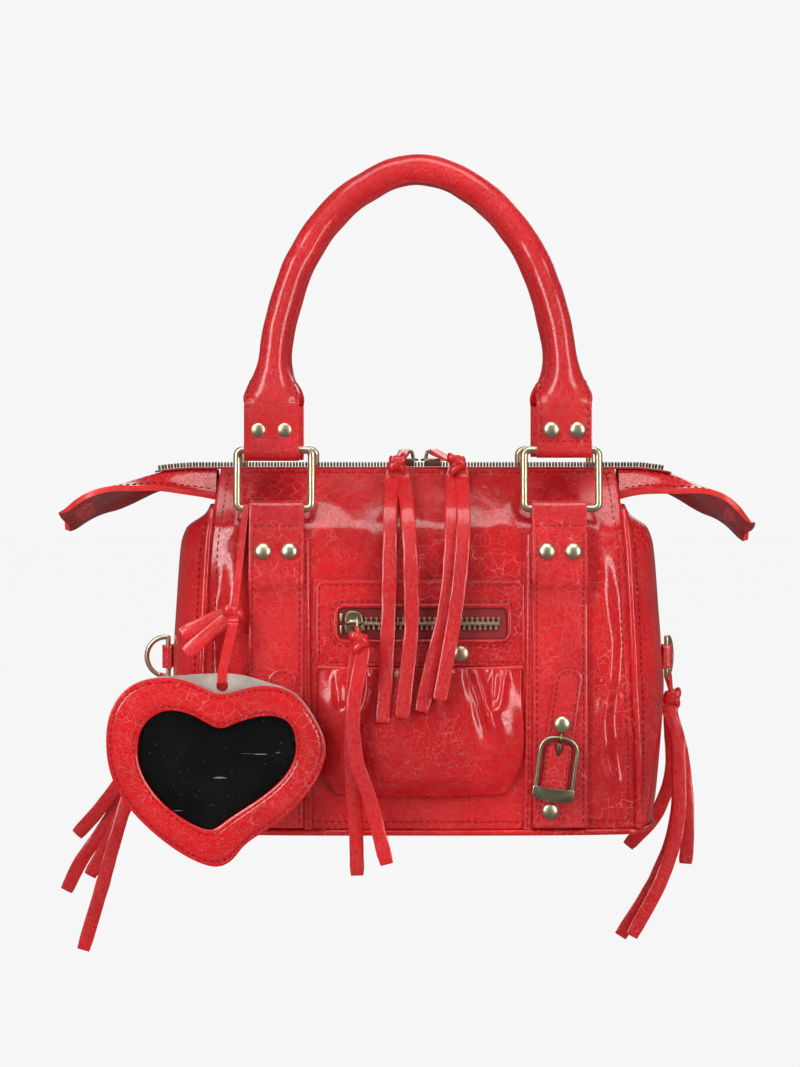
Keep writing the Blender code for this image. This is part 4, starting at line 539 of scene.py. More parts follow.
reds = {
    "body": ((0.655, 0.0040, 0.0070), (0.43, 0.0022, 0.0044)),
    "strap": ((0.64, 0.0060, 0.0100), (0.44, 0.0038, 0.0066)),
    "lace": ((0.65, 0.0050, 0.0088), (0.47, 0.0034, 0.0062)),
    # under: a darker, duller copy of the red leather, painted shade for the wing undersides and the handle
    # cores
    "under": ((0.36, 0.004, 0.007), (0.26, 0.003, 0.005)),
}
strapWear = {"veins": 1.05, "roughness": 0.25, "crinkle": 0.9, "scale": 1.15}
handleWear = {"veins": 0.75, "roughness": 0.24, "crinkle": 0.75, "scale": 1.35}
laceWear = {"veins": 0.5, "roughness": 0.27, "crinkle": 0.6, "scale": 1.3, "cracked": 0.2}
shadedUnderWear = {"veins": 0.5, "roughness": 0.36, "crinkle": 0.8}
redLeather = leatherFinish("crinkledRedLeather", *reds["body"])
strapLeather = leatherFinish("strapLeather", *reds["strap"], **strapWear)
handleLeather = leatherFinish("handleLeather", *reds["strap"], **handleWear)
laceLeather = leatherFinish("laceLeather", *reds["lace"], **laceWear)
shadedUnderLeather = leatherFinish("wingUndersideShade", *reds["under"], **shadedUnderWear)
edgePaint = paintFinish("edgePaint", (0.74, 0.030, 0.026))
laceEdge = paintFinish("laceEdge", (0.80, 0.045, 0.035))
threadFinish = paintFinish("redThread", (0.17, 0.003, 0.005))
brassFinish = metalFinish("paleBrass", (0.78, 0.68, 0.45), (0.88, 0.81, 0.62), (0.26, 0.20, 0.11), 0.33)
buckleBrass = metalFinish("buckleBrass", (0.42, 0.36, 0.23), (0.70, 0.62, 0.44), (0.10, 0.075, 0.045), 0.30)
darkBrass = metalFinish("darkBrass", (0.26, 0.20, 0.12), (0.46, 0.38, 0.25), (0.06, 0.045, 0.03), 0.34)
teethBrass = metalFinish("teethBrass", (0.40, 0.29, 0.15), (0.66, 0.54, 0.33), (0.08, 0.055, 0.03), 0.30)
tapeCloth = clothFinish("zipTape", (0.46, 0.010, 0.016), (0.24, 0.004, 0.008), (170, 12))
pocketTape = clothFinish("pocketTape", (0.30, 0.006, 0.010), (0.15, 0.003, 0.005), (110, 14))
liningCloth = clothFinish("liningCloth", (0.20, 0.02, 0.022), (0.12, 0.012, 0.014), (220, 160))
greySuede = suedeFinish()
mirrorGlass = mirrorFinish()
painted = [redLeather, edgePaint]
strapped = [strapLeather, edgePaint]
laced = [laceLeather, laceEdge]


# stage, lamps and camera

print("stage")

studio = {
    "cameraPlace": (-0.0085, -1.45, -0.125),
    "lookDown": 1.8,
    "focalPixels": 2979,
    "photoHeight": 1067,
    "sensor": 36,
    "floor": -0.3765,
    "floorGap": 0.0006,
    "paper": (0.915, 0.915, 0.915),
    "white": 0.925,
    "gloss": 0.11,
    "ambient": 0.36,
    "paperGlow": 0.985,
}
lamps = {
    "keyLeft": {"place": (-1.0, -1.10, 0.45), "aim": -0.18, "size": (0.45, 1.1), "power": 12.5},
    "fillRight": {"place": (1.15, -0.95, 0.2), "aim": -0.18, "size": (0.40, 1.1), "power": 9},
    "topSoft": {"place": (0.0, -0.55, 1.15), "aim": -0.2, "size": (1.2, 0.6), "power": 9},
    "backSoft": {"place": (0.2, 1.4, 0.6), "aim": -0.15, "size": (1.3, 0.9), "power": 7},
}


def sightLines(nodes):
    # whether a ray comes straight from the camera, and whether it is a gloss ray
    path = nodes.add("LightPath").outputs
    return nodes.larger(path["Is Camera Ray"], path["Is Transmission Ray"]), path["Is Glossy Ray"]


def paperFinish():
    # pale paper for the camera and for gloss, a plain grey for the light it throws back
    f = Finish("paper", studio["paper"], 0.9)
    seen, shine = sightLines(f)
    glow = f.add("Emission", Color=(1, 1, 1, 1))
    dimmed = f.minus(studio["white"], f.times(shine, studio["white"] - studio["gloss"]))
    f.feed(glow.inputs["Strength"], dimmed)
    mixed = f.add("MixShader")
    shown = f.larger(f.times(seen, studio["paperGlow"]), shine)
    for socket, value in zip(mixed.inputs, (shown, f.shader.outputs[0], glow.outputs[0])):
        f.feed(socket, value)
    f.feed(f.tree.nodes["Material Output"].inputs["Surface"], mixed.outputs[0])
    return f.material


def makeStage():
    shape = bmesh.new()
    level = Matrix.Translation((0, 0, studio["floor"] - studio["floorGap"]))
    bmesh.ops.create_grid(shape, x_segments=1, y_segments=1, size=6, matrix=level)
    floor = meshFrom("floor", shape)
    floor.data.materials.append(paperFinish())
    world = bpy.data.worlds.new("studioAir")
    bpy.context.scene.world = world
    world.use_nodes = True
    air = Nodes(world.node_tree)
    seen, shine = sightLines(air)
    back = air.tree.nodes["Background"].inputs
    back["Color"].default_value = (1, 1, 1, 1)
    unseen = air.minus(studio["ambient"], air.times(shine, studio["ambient"] - studio["gloss"]))
    lift = air.times(seen, air.minus(studio["white"], unseen))
    air.feed(back["Strength"], air.maths("ADD", unseen, lift))


def makeLamps():
    for name, look in lamps.items():
        light = bpy.data.lights.new(name, "AREA")
        light.shape = "RECTANGLE"
        light.size, light.size_y = look["size"]
        light.energy = look["power"]
        lamp = placeObject(name, light)
        lamp.location = look["place"]
        aim = Vector((0, 0, look["aim"])) - Vector(look["place"])
        lamp.rotation_euler = aim.to_track_quat("-Z", "Y").to_euler()


def makeCamera():
    lens = bpy.data.cameras.new("frontView")
    lens.lens = studio["focalPixels"] / studio["photoHeight"] * studio["sensor"]
    lens.clip_start = 0.05
    camera = placeObject("frontView", lens)
    camera.location = studio["cameraPlace"]
    camera.rotation_euler = (math.radians(90 - studio["lookDown"]), 0, 0)
    bpy.context.scene.camera = camera


makeStage()
makeLamps()
makeCamera()
bpy.context.scene.view_settings.view_transform = "Standard"


# stitches and rivets

rivetLook = {
    "radius": 0.0040,
    "dome": 0.0023,
    "backDome": 0.0011,
    "brim": 0.12,
    "sunk": 0.0004,
    "spacing": 0.0125,
}


def walk(route, pitch):
    # evenly spaced (place, normal, tangent) along a route of (place, normal) pairs
    lengths = [0.0]
    for one, two in zip(route, route[1:]):
        lengths.append(lengths[-1] + (two[0] - one[0]).length)
    count = max(int(lengths[-1] / pitch), 1)
    index = 0
    places = []
    for k in range(count):
        at = (k + 0.5) * lengths[-1] / count
        while index < len(lengths) - 2 and lengths[index + 1] < at:
            index += 1
        one, two = route[index], route[index + 1]
        t = (at - lengths[index]) / max(lengths[index + 1] - lengths[index], 1e-9)
        place, normal = one[0].lerp(two[0], t), one[1].lerp(two[1], t)
        places.append((place, normal.normalized(), (two[0] - one[0]).normalized()))
    return places


def sewAlong(shape, route, pitch=0.0032, length=0.0023, width=0.00062, lift=0.00012):
    # one row of stitches, each a small rounded grain sunk halfway into the leather
    stretch = Matrix.Diagonal((length / 2, width / 2, width / 2, 1))
    for place, normal, tangent in walk(route, pitch):
        side = normal.cross(tangent).normalized()
        turn = turnedTo(tangent, side, normal, place + lift * normal)
        bmesh.ops.create_icosphere(shape, subdivisions=1, radius=1, matrix=turn @ stretch)


def panelRoute(places, lift, facing=-1):
    return [(onPanel(x, z, facing, lift), panelNormal(x, z, facing)) for x, z in places]


def turnedShape(shape, profile, place, axis, segments=28):
    # a profile of (height, radius) pairs turned round an axis, closed at both ends
    axis = axis.normalized()
    side = axis.orthogonal().normalized()
    rings = []
    for height, radius in profile:
        turn = turnedTo(side, axis.cross(side), axis, place + height * axis)
        rings.append(bmesh.ops.create_circle(shape, segments=segments, radius=radius, matrix=turn)["verts"])
    return skinRings(shape, rings)


def rivetHead(shape, place, axis, dome=rivetLook["dome"]):
    radius = rivetLook["radius"]
    brim = rivetLook["brim"]
    profile = [(-rivetLook["sunk"], radius * 0.92), (0.0, radius), (brim * dome, radius)]
    for degrees in steps(8, 8, 88)[1:]:
        angle = math.radians(degrees)
        profile.append((dome * (brim + (1 - brim) * math.sin(angle)), radius * math.cos(angle) + 0.00002))
    return turnedShape(shape, profile, place, axis)


# the soft body: two panels, two gussets, the base, the piping and the lining

print("body")

baseForm = {"top": -0.3097, "thickness": 0.0021, "inset": 0.0004, "edge": 0.0008}
pipingForm = {
    "radius": 0.0019,
    "wander": 0.00025,
    "out": 0.0009,
    "baseRadius": 0.0013,
    "baseOut": 0.0008,
    "baseZ": -0.3100,
    "span": (0.004, 0.876),
}
liningForm = {
    "inset": 0.0042,
    "thickness": 0.0008,
    "bottom": 0.02,
    "rise": 0.92,
    "levels": 60,
    "floor": 0.4,
    "floorLift": 0.0004,
    "wave": 0.0048,
}


def makePanels():
    for word, facing in faces:

        def placeAt(u, v):
            up = (v + 1) / 2
            return onPanel(planAt(up)[0] * u * 0.9985, levelAt(up), facing)

        shape = sheetShape(150, 120, placeAt, towards(Vector((0, facing, 0))))
        kept = {"stands": [f"{word}_panel"], "smooth": 180, "wall": bagForm["leather"], "edge": 0}
        keepPiece(f"{word}PanelLeather", shape, painted, **kept)


def makeGussets():
    for word, side in hands:

        def placeAt(u, v):
            return onGusset(u * 0.992, bagForm["gussetTop"] * (v + 1) / 2, side)

        shape = sheetShape(70, 110, placeAt, towards(Vector((side, 0, 0))))
        kept = {"stands": [f"{word}_gusset"], "smooth": 180, "wall": bagForm["leather"], "edge": 0}
        keepPiece(f"{word}GussetLeather", shape, painted, **kept)


def planOutline(up, inset=0.0):
    points = []
    z = levelAt(up)
    seam = planAt(up)[0]
    for facing in (-1, 1):
        for u in steps(44, facing, -facing)[:-1]:
            points.append(plainPanel(seam * u, z, facing) - inset * panelNormal(seam * u * 0.999, z, facing))
        for v in steps(20, facing, -facing)[:-1]:
            points.append(gussetPlace(v, up, -facing) - inset * gussetNormal(v, up, -facing))
    return points


def makeBase():
    b = baseForm
    shape = bmesh.new()
    ring = placedRing(shape, [Vector((p.x, p.y, b["top"])) for p in planOutline(0, b["inset"])])
    bmesh.ops.contextual_create(shape, geom=ring)
    raised = bmesh.ops.extrude_face_region(shape, geom=list(shape.faces))["geom"]
    moved = [item for item in raised if isinstance(item, bmesh.types.BMVert)]
    bmesh.ops.translate(shape, vec=(0, 0, -b["thickness"]), verts=moved)
    bmesh.ops.recalc_face_normals(shape, faces=shape.faces)
    kept = {"stands": ["base_panel"], "slot": "dark_leather", "smooth": 38}
    easeEdges(keepPiece("baseLeather", shape, [redLeather], **kept), b["edge"], segments=3)


def makePiping():
    p = pipingForm
    shape = bmesh.new()
    for facing in (-1, 1):
        for side in (-1, 1):
            route = []
            for up in steps(60, *p["span"]):
                seam = side * planAt(up)[0]
                z = levelAt(up)
                outward = (panelNormal(seam * 0.995, z, facing) + gussetNormal(facing, up, side)).normalized()
                route.append(plainPanel(seam, z, facing) + p["out"] * outward)
            radii = [p["radius"] + p["wander"] * noise.noise(place * 60) for place in route]
            tubeShape(route, radii, shape=shape)
    keepPiece("seamPiping", shape, [redLeather])
    loop = [Vector((place.x, place.y, p["baseZ"])) for place in planOutline(0, -p["baseOut"])]
    keepPiece("basePiping", tubeShape(loop, p["baseRadius"], closed=True, seed=upward), [redLeather])


def makeLining():
    f = liningForm
    rings = [planOutline(up, f["inset"]) for up in steps(f["levels"])]

    def placeAt(u, v):
        rise = (v + 1) / f["floor"]
        share = min(rise, 1)
        up = f["bottom"] + f["rise"] * max(v + 1 - f["floor"], 0) / (2 - f["floor"])
        ring = rings[min(int(round(up * f["levels"])), f["levels"])]
        at = (u + 1) / 2 * len(ring)
        low = int(at) % len(ring)
        place = ring[low].lerp(ring[(low + 1) % len(ring)], at - int(at))
        wave = f["wave"] * noise.noise(place * 40)
        lift = 0 if rise >= 1 else f["floorLift"]
        return Vector((place.x * share * (1 + wave), place.y * share, place.z + lift))

    shape = sheetShape(128, 60, placeAt)
    weld(shape, 0.00001)
    kept = {"slot": "lining_cloth", "smooth": 180, "wall": f["thickness"], "rim": 0, "edge": 0}
    keepPiece("liningCloth", shape, [liningCloth], stands=["lining"], **kept)


makePanels()
makeGussets()
makeBase()
makePiping()
makeLining()


# the wings that carry the ends of the zip, the tape and its teeth

print("zip and wings")

wingForm = {
    "root": bagForm["seamHalf"] * 0.93 + 0.0003,
    "halfWidth": 0.0184,
    "thickness": 0.0028,
    "roof": 0.0103,
    "lengths": {-1: 0.075, 1: 0.0645},
    "droops": {-1: 0.0195, 1: 0.0250},
    "stations": (0, 0.14, 0.30, 0.45, 0.62, 0.78, 0.90, 0.97, 1),
    "widthShares": (1, 0.92, 0.90, 0.94, 1, 1, 0.86, 0.62, 0.40),
    "roofShares": (1.12, 0.90, 0.68, 0.48, 0.26, 0.10, 0, 0, 0),
    "droopShares": (0, 0, 0.04, 0.12, 0.25, 0.46, 0.72, 0.92, 1),
    "twist": 0.0095,
    "curl": 0.0012,
    "endTab": 0.0012,
    "endTabGap": 0.0011,
    "edgeRow": {"across": 0.86, "span": (0.03, 0.91)},
    "innerRow": {"across": 0.56, "span": (0.02, 0.48)},
}
zipForm = {
    "drop": 0.0011,
    "reachShare": 0.40,
    "tapeHalf": 0.0095,
    "tape": 0.0008,
    "tapeRise": 0.0011,
    "pitch": 0.00152,
    "end": 0.0015,
    "tooth": (0.00098, 0.0040, 0.0023),
    "toothOut": 0.00075,
    "toothRise": 0.0024,
    "toothEdge": 0.00028,
}
zipTop = levelAt(1) - zipForm["drop"]


def ridgeAt(x):
    f = wingForm
    side = -1 if x < 0 else 1
    along = max(abs(x) - f["root"], 0) / f["lengths"][side]
    return zipTop - f["droops"][side] * between(f["stations"], f["droopShares"], along)


def wingPlace(side, along, across, lift=0.0):
    f = wingForm
    x = side * (f["root"] + along * f["lengths"][side])
    half = f["halfWidth"] * between(f["stations"], f["widthShares"], along)
    if along > 0.86:
        half = min(half, f["halfWidth"] * math.sqrt(max(1 - ((along - 0.80) / 0.205) ** 2, 0.03)))
    roof = f["roof"] * between(f["stations"], f["roofShares"], along)
    fall = roof * smoothStep(0.42, 1.05, abs(across)) * 1.12
    fall += f["twist"] * smoothStep(0.34, 0.72, along) * (across + 1) / 2
    curl = f["curl"] * noise.noise(Vector((x * 45, across * 1.3, side)))
    return Vector((x, across * half, ridgeAt(x) - fall + curl + lift))


def makeWings():
    f = wingForm
    thread = bmesh.new()
    # the wing's underside takes the darker copy of the red leather as painted shade
    finishes = [redLeather, edgePaint, shadedUnderLeather]
    for word, side in hands:

        def wingAt(u, v):
            return wingPlace(side, (u + 1) / 2, v)

        def endTabAt(u, v):
            return wingPlace(side, 0.86 + 0.055 * u, 0.62 * v, -f["thickness"] - f["endTabGap"])

        shape = sheetShape(64, 30, wingAt, towards(upward))
        kept = {"wall": f["thickness"], "inner": 2, "edge": 0.0006, "segments": 3}
        keepPiece(f"{word}WingLeather", shape, finishes, stands=[f"{word}_wing"], **kept)
        row = f["edgeRow"]
        for across in (-row["across"], row["across"]):
            normal = Vector((0, 0.35 * across, 1)).normalized()
            top = [wingPlace(side, along, across) for along in steps(40, *row["span"])]
            sewAlong(thread, [(place, normal) for place in top])
            sewAlong(thread, [(place - f["thickness"] * upward, -normal) for place in top])
        row = f["innerRow"]
        for across in (-row["across"], row["across"]):
            top = [wingPlace(side, along, across) for along in steps(30, *row["span"])]
            sewAlong(thread, [(place, upward) for place in top])
        patch = sheetShape(12, 14, endTabAt, towards(-upward))
        keepPiece(f"{word}WingEndTab", patch, painted, wall=f["endTab"])
    keepThread("wingStitching", thread)


def makeTopZip():
    f = zipForm
    left, right = (wingForm["root"] + f["reachShare"] * wingForm["lengths"][side] for side in (-1, 1))

    def tapeAt(u, v):
        x = (right + left) / 2 * u + (right - left) / 2
        return Vector((x, v * f["tapeHalf"], ridgeAt(x) + f["tapeRise"] + 0.0001 * math.cos(3 * v)))

    kept = {"stands": ["top_zip_tape"], "slot": "zip_tape", "wall": f["tape"], "rim": 0, "edge": 0}
    keepPiece("topZipTape", sheetShape(160, 8, tapeAt, towards(upward)), [tapeCloth], **kept)
    teeth = bmesh.new()
    for k in range(int((right + left - 2 * f["end"]) / f["pitch"])):
        x = -left + f["end"] + k * f["pitch"]
        lean = math.atan2(ridgeAt(x + 0.001) - ridgeAt(x - 0.001), 0.002)
        out = f["toothOut"] if k % 2 else -f["toothOut"]
        turn = Matrix.Translation((x, out, ridgeAt(x) + f["toothRise"])) @ Matrix.Rotation(-lean, 4, "Y")
        addBlock(teeth, turn, f["tooth"], f["toothEdge"])
    keepMetal("topZipTeeth", teeth, ["top_zip_teeth"], teethBrass, "dark_brass", smooth=38)


makeWings()
makeTopZip()


# rings, straps and handles

print("straps and handles")

strapForm = {
    "centre": 0.067,
    "halfWidth": 0.013,
    "thickness": 0.0018,
    "bar": 0.161,
    "wire": 0.0018,
    "clearance": 0.0004,
    "backLift": 0.0015,
    "returnLength": 0.030,
    "rivetBelow": 0.018,
    "bottom": 0.3077,
    "crossSeam": 0.1682,
    "pinch": 0.0005,
    "crown": 0.00025,
    "seamAcross": 0.85,
    "seamTop": 0.171,
    "frontDrops": (0.161, 0.168, 0.174, 0.184, 0.1928, 0.198, 0.205, 0.3077),
    "frontLifts": (0.0077, 0.0052, 0.0048, 0.0048, 0.0045, 0.0020, 0.0010, 0.0010),
    "follow": (0, 0, 0, 0, 0, 0.5, 1, 1),
}
weltForm = {
    "top": 0.170,
    "bottom": 0.3085,
    "across": 0.0535,
    "narrowing": 0.0016,
    "radius": 0.0023,
    "flat": 0.52,
}
ringForm = {"centre": 0.0682, "wide": 0.039, "high": 0.0315, "corner": 0.0045, "lean": math.radians(5)}


def strapAxes(z, facing):
    normal = panelNormal(strapForm["centre"], z, facing)
    normal = Vector((0, normal.y, normal.z)).normalized()
    return plainPanel(strapForm["centre"], z, facing), normal


def ringBar(facing):
    f = strapForm
    place, normal = strapAxes(-f["bar"], facing)
    rising = Vector((0, -normal.z * facing, normal.y * facing)).normalized()
    lift = f["backLift"] + f["thickness"] + f["clearance"] + f["wire"]
    return Vector((0, place.y, place.z)) + lift * normal, normal, rising


def ringUp(facing):
    return Vector((0, -facing * math.sin(ringForm["lean"]), math.cos(ringForm["lean"])))


def ringTop(facing):
    return ringBar(facing)[0] + (ringForm["high"] - 2 * strapForm["wire"]) * ringUp(facing)


def strapFace(drop):
    f = strapForm
    return between(f["frontDrops"], f["frontLifts"], drop) + f["thickness"]


def strapPoint(side, facing, z, lift, follow, across):
    f = strapForm
    x = side * (f["centre"] + across * f["halfWidth"])
    middle, normal = strapAxes(z, facing)
    y = middle.y + follow * (plainPanel(x, z, facing).y - middle.y)
    lift += f["crown"] * (1 - across**4) + follow * foldHeight(x, z, facing)
    return Vector((x, y, z)) + lift * normal


def strapStation(*where):
    return lambda v: strapPoint(*where, v)


def levelStation(middle, half, place):
    return lambda v: Vector((middle + v * half, place.y, place.z))


def strapStations(side, facing):
    # from the end behind, up round the ring's bar and down the front to the base
    f = strapForm
    bar, normal, rising = ringBar(facing)
    start = -f["bar"] - f["returnLength"]
    stations = [strapStation(side, facing, z, f["backLift"], 0) for z in steps(12, start, -f["bar"])[:-1]]
    reach = f["wire"] + f["clearance"] + f["thickness"]
    for cosine, sine in arc(14, 0, 1):
        place = bar + reach * (sine * rising - cosine * normal)
        stations.append(levelStation(side * f["centre"], side * f["halfWidth"], place))
    for drop in steps(130, f["bar"], f["bottom"])[1:]:
        lift = strapFace(drop) - f["pinch"] * bell(drop - f["crossSeam"], 0.0011)
        stations.append(strapStation(side, facing, -drop, lift, between(f["frontDrops"], f["follow"], drop)))
    return stations


def stationSheet(stations, rows):
    last = len(stations) - 1

    def placeAt(u, v):
        at = (u + 1) / 2 * last
        low = min(int(at), last - 1)
        return stations[low](v).lerp(stations[low + 1](v), at - low)

    shape = sheetShape(last, rows, placeAt)
    shape.normal_update()
    return shape


def makeStrap(word, facing, hand, side):
    f = strapForm
    name = f"{word}{hand.capitalize()}Strap"
    shape = stationSheet(strapStations(side, facing), 14)
    lowest = min(shape.faces, key=lambda face: face.calc_center_median().z)
    if lowest.normal.y * facing < 0:
        bmesh.ops.reverse_faces(shape, faces=shape.faces)
    kept = {"stands": [f"{word}_{hand}_strap"], "wall": f["thickness"], "edge": 0.00045}
    keepPiece(name, shape, strapped, **kept)
    thread = bmesh.new()
    for across in (-f["seamAcross"], f["seamAcross"]):
        route = []
        for drop in steps(99, f["seamTop"], f["bottom"] - 0.002):
            follow = between(f["frontDrops"], f["follow"], drop)
            place = strapPoint(side, facing, -drop, strapFace(drop), follow, across)
            route.append((place, strapAxes(-drop, facing)[1]))
        sewAlong(thread, route)
    z = -f["crossSeam"]
    lift = strapFace(-z) - f["pinch"]
    normal = strapAxes(z, facing)[1]
    sewAlong(thread, [(strapPoint(side, facing, z, lift, 0, v), normal) for v in steps(12, -0.92, 0.92)])
    keepThread(f"{name}Stitching", thread)
    z = -f["bar"] - f["rivetBelow"]
    place, normal = strapAxes(z, facing)
    rivets = bmesh.new()
    for sign in (-1, 1):
        x = side * f["centre"] + sign * rivetLook["spacing"] / 2
        rivetHead(rivets, Vector((x, place.y, place.z)) + (strapFace(-z) + 0.0002) * normal, normal)
    keepMetal(f"{name}Rivets", rivets, [f"{word}_{hand}_strap_rivets"] if facing < 0 else [], smooth=50)


def makeStrapWelts():
    # the folded welts that run down the front beside each strap
    f = weltForm
    shape = bmesh.new()
    thread = bmesh.new()
    for facing in (-1, 1):
        for side in (-1, 1):
            route = []
            sewn = []
            for t in steps(69):
                z = -f["top"] - (f["bottom"] - f["top"]) * t
                x = side * (f["across"] - f["narrowing"] * t)
                lift = 0.0002 + 0.0010 * smoothStep(0, 0.1, t)
                route.append(onPanel(x, z, facing, lift - 0.0006))
                crest = onPanel(x - side * 0.0004, z, facing, lift + 0.00055)
                sewn.append((crest, panelNormal(x, z, facing)))
            tubeShape(route, f["radius"], sides=12, flat=f["flat"], shape=shape, seed=rightward)
            sewAlong(thread, sewn[4:], width=0.0005)
    keepPiece("strapWelts", shape, [strapLeather], smooth=70)
    keepThread("strapWeltStitching", thread)


def makeRing(word, facing, hand, side):
    f = ringForm
    rising = ringUp(facing)
    wire = strapForm["wire"]
    corner = f["corner"] - wire
    centre = ringBar(facing)[0] + side * f["centre"] * rightward
    path = []
    for sign, level, start in ((1, 0, -0.5), (1, 1, 0), (-1, 1, 0.5), (-1, 0, 1)):
        along = sign * (f["wide"] / 2 - wire - corner)
        rise = f["high"] - 2 * wire - corner if level else corner
        for cosine, sine in arc(8, start, start + 0.5):
            path.append(centre + (along + corner * cosine) * rightward + (rise + corner * sine) * rising)
    shape = tubeShape(path, wire, sides=18, closed=True, seed=rightward.cross(rising))
    keepMetal(f"{word}{hand.capitalize()}Ring", shape, [f"{word}_{hand}_ring"], body=f"{word}_rings")


handleForm = {
    "centre": 0.0695,
    "height": 0.114,
    "radius": 0.0061,
    "leather": 0.0015,
    "tabHalf": 0.013,
    "arcHalf": 0.0172,
    "apexDepth": 0.0142,
    "apexDrop": 0.075,
    "rivetAbove": 0.0095,
    "returnLength": 0.0215,
    "plate": 0.0009,
    "gap": 0.0003,
    "core": 0.0051,
    "pinch": 0.0005,
    "pinchRise": 0.0048,
    "whips": 58,
    "whipSpan": (0.20, 0.98),
    "whipEdge": 0.90,
    "whipThread": 0.00055,
    "positions": tuple(k / 7 for k in range(8)),
    "spanShares": (1, 1, 0.985, 0.925, 0.82, 0.64, 0.36, 0),
    "climbShares": (0, 0.09, 0.24, 0.42, 0.60, 0.775, 0.925, 1),
    "rollShares": (0, 0.45, 1, 1, 1, 1, 1, 1),
}


def handlePlace(share, side, facing):
    f = handleForm
    x = f["centre"] * between(f["positions"], f["spanShares"], share)
    climb = between(f["positions"], f["climbShares"], share)
    if share > f["positions"][-2]:
        climb = 1 - f["apexDrop"] * (x / f["centre"] / f["spanShares"][-2]) ** 2
    tabDepth = abs(ringTop(facing).y) + f["plate"] / 2 + f["gap"] + f["leather"] / 2
    depth = tabDepth + (f["apexDepth"] - tabDepth) * climb
    return Vector((side * x, facing * depth, f["radius"] - f["height"] * (1 - climb)))


def handleAxes(share, side, facing):
    tangent = -side * rightward
    if share < 1:
        ahead = handlePlace(min(share + 0.01, 1), side, facing)
        tangent = (ahead - handlePlace(max(share - 0.01, 0), side, facing)).normalized()
    inwards = facing * forward
    inwards = (inwards - inwards.dot(tangent) * tangent).normalized()
    across = (side * facing * tangent.cross(inwards)).normalized()
    return handlePlace(share, side, facing), across, inwards


def handleSkin(share, side, facing, v, lift=0.0):
    # a point on the leather, which is flat at the tabs and rolls into a tube above them, and its normal
    f = handleForm
    place, across, inwards = handleAxes(share, side, facing)
    roll = between(f["positions"], f["rollShares"], share)
    bend = max(roll * f["arcHalf"] / f["radius"], 0.01)
    radius = (f["tabHalf"] + (f["arcHalf"] - f["tabHalf"]) * roll) / bend
    out = math.sin(bend * v) * across - math.cos(bend * v) * inwards
    point = place + radius * inwards + (radius + f["leather"] / 2) * out
    wave = 0.00038 * noise.noise(point * 95) + 0.0005 * (1 - roll) * noise.noise(point * 130)
    return point + (lift + wave * smoothStep(0.02, 0.12, share)) * out, out


def handleStation(*where):
    return lambda v: handleSkin(*where, v)[0]


def handleStations(facing):
    f = handleForm
    bar = ringTop(facing)
    outward = -facing * forward
    near = strapForm["wire"] + strapForm["clearance"] + f["leather"]
    apart = f["plate"] / 2 + f["gap"] + f["leather"]
    behind = [bar + rise * upward - apart * outward for rise in steps(8, f["returnLength"], 0.0062)]
    under = [bar - near * (cosine * outward + sine * upward) for cosine, sine in arc(12, 0, 1)]
    front = []
    for rise in steps(8, 0.0060, f["returnLength"] - 0.0006):
        pinch = f["pinch"] * bell(rise - f["pinchRise"], 0.0016)
        front.append(bar + rise * upward + (apart - pinch) * outward)
    halves = []
    for side in (-1, 1):
        tab = [levelStation(side * f["centre"], f["tabHalf"], place) for place in behind + under + front]
        halves.append(tab + [handleStation(share, side, facing) for share in steps(75)])
    return halves[0] + halves[1][-2::-1]


def makeHandle(word, facing):
    f = handleForm
    body = f"{word}_handle"
    shape = stationSheet(handleStations(facing), 26)
    uphill = Vector((0, facing, 4))
    top = max(shape.faces, key=lambda face: uphill.dot(face.calc_center_median()))
    place, across, inwards = handleAxes(1, 1, facing)
    if (top.calc_center_median() - place - f["radius"] * inwards).dot(top.normal) < 0:
        bmesh.ops.reverse_faces(shape, faces=shape.faces)
    kept = {"body": body, "stands": [body], "smooth": 70, "wall": f["leather"], "edge": 0.0004}
    keepPiece(f"{word}HandleLeather", shape, [handleLeather, edgePaint], **kept)
    core = []
    for share in steps(60, 0.27, 1):
        place, across, inwards = handleAxes(share, -1, facing)
        core.append(place + f["radius"] * inwards)
    core += [Vector((-place.x, place.y, place.z)) for place in core[-2::-1]]
    kept = {"body": body, "stands": [f"{word}_handle_core"], "slot": "dark_leather", "smooth": 38}
    # the core inside the rolled handle takes the darker copy of the red leather as painted shade
    keepPiece(f"{word}HandleCore", tubeShape(core, f["core"], sides=14), [shadedUnderLeather], **kept)
    makeHandleTrim(word, facing)


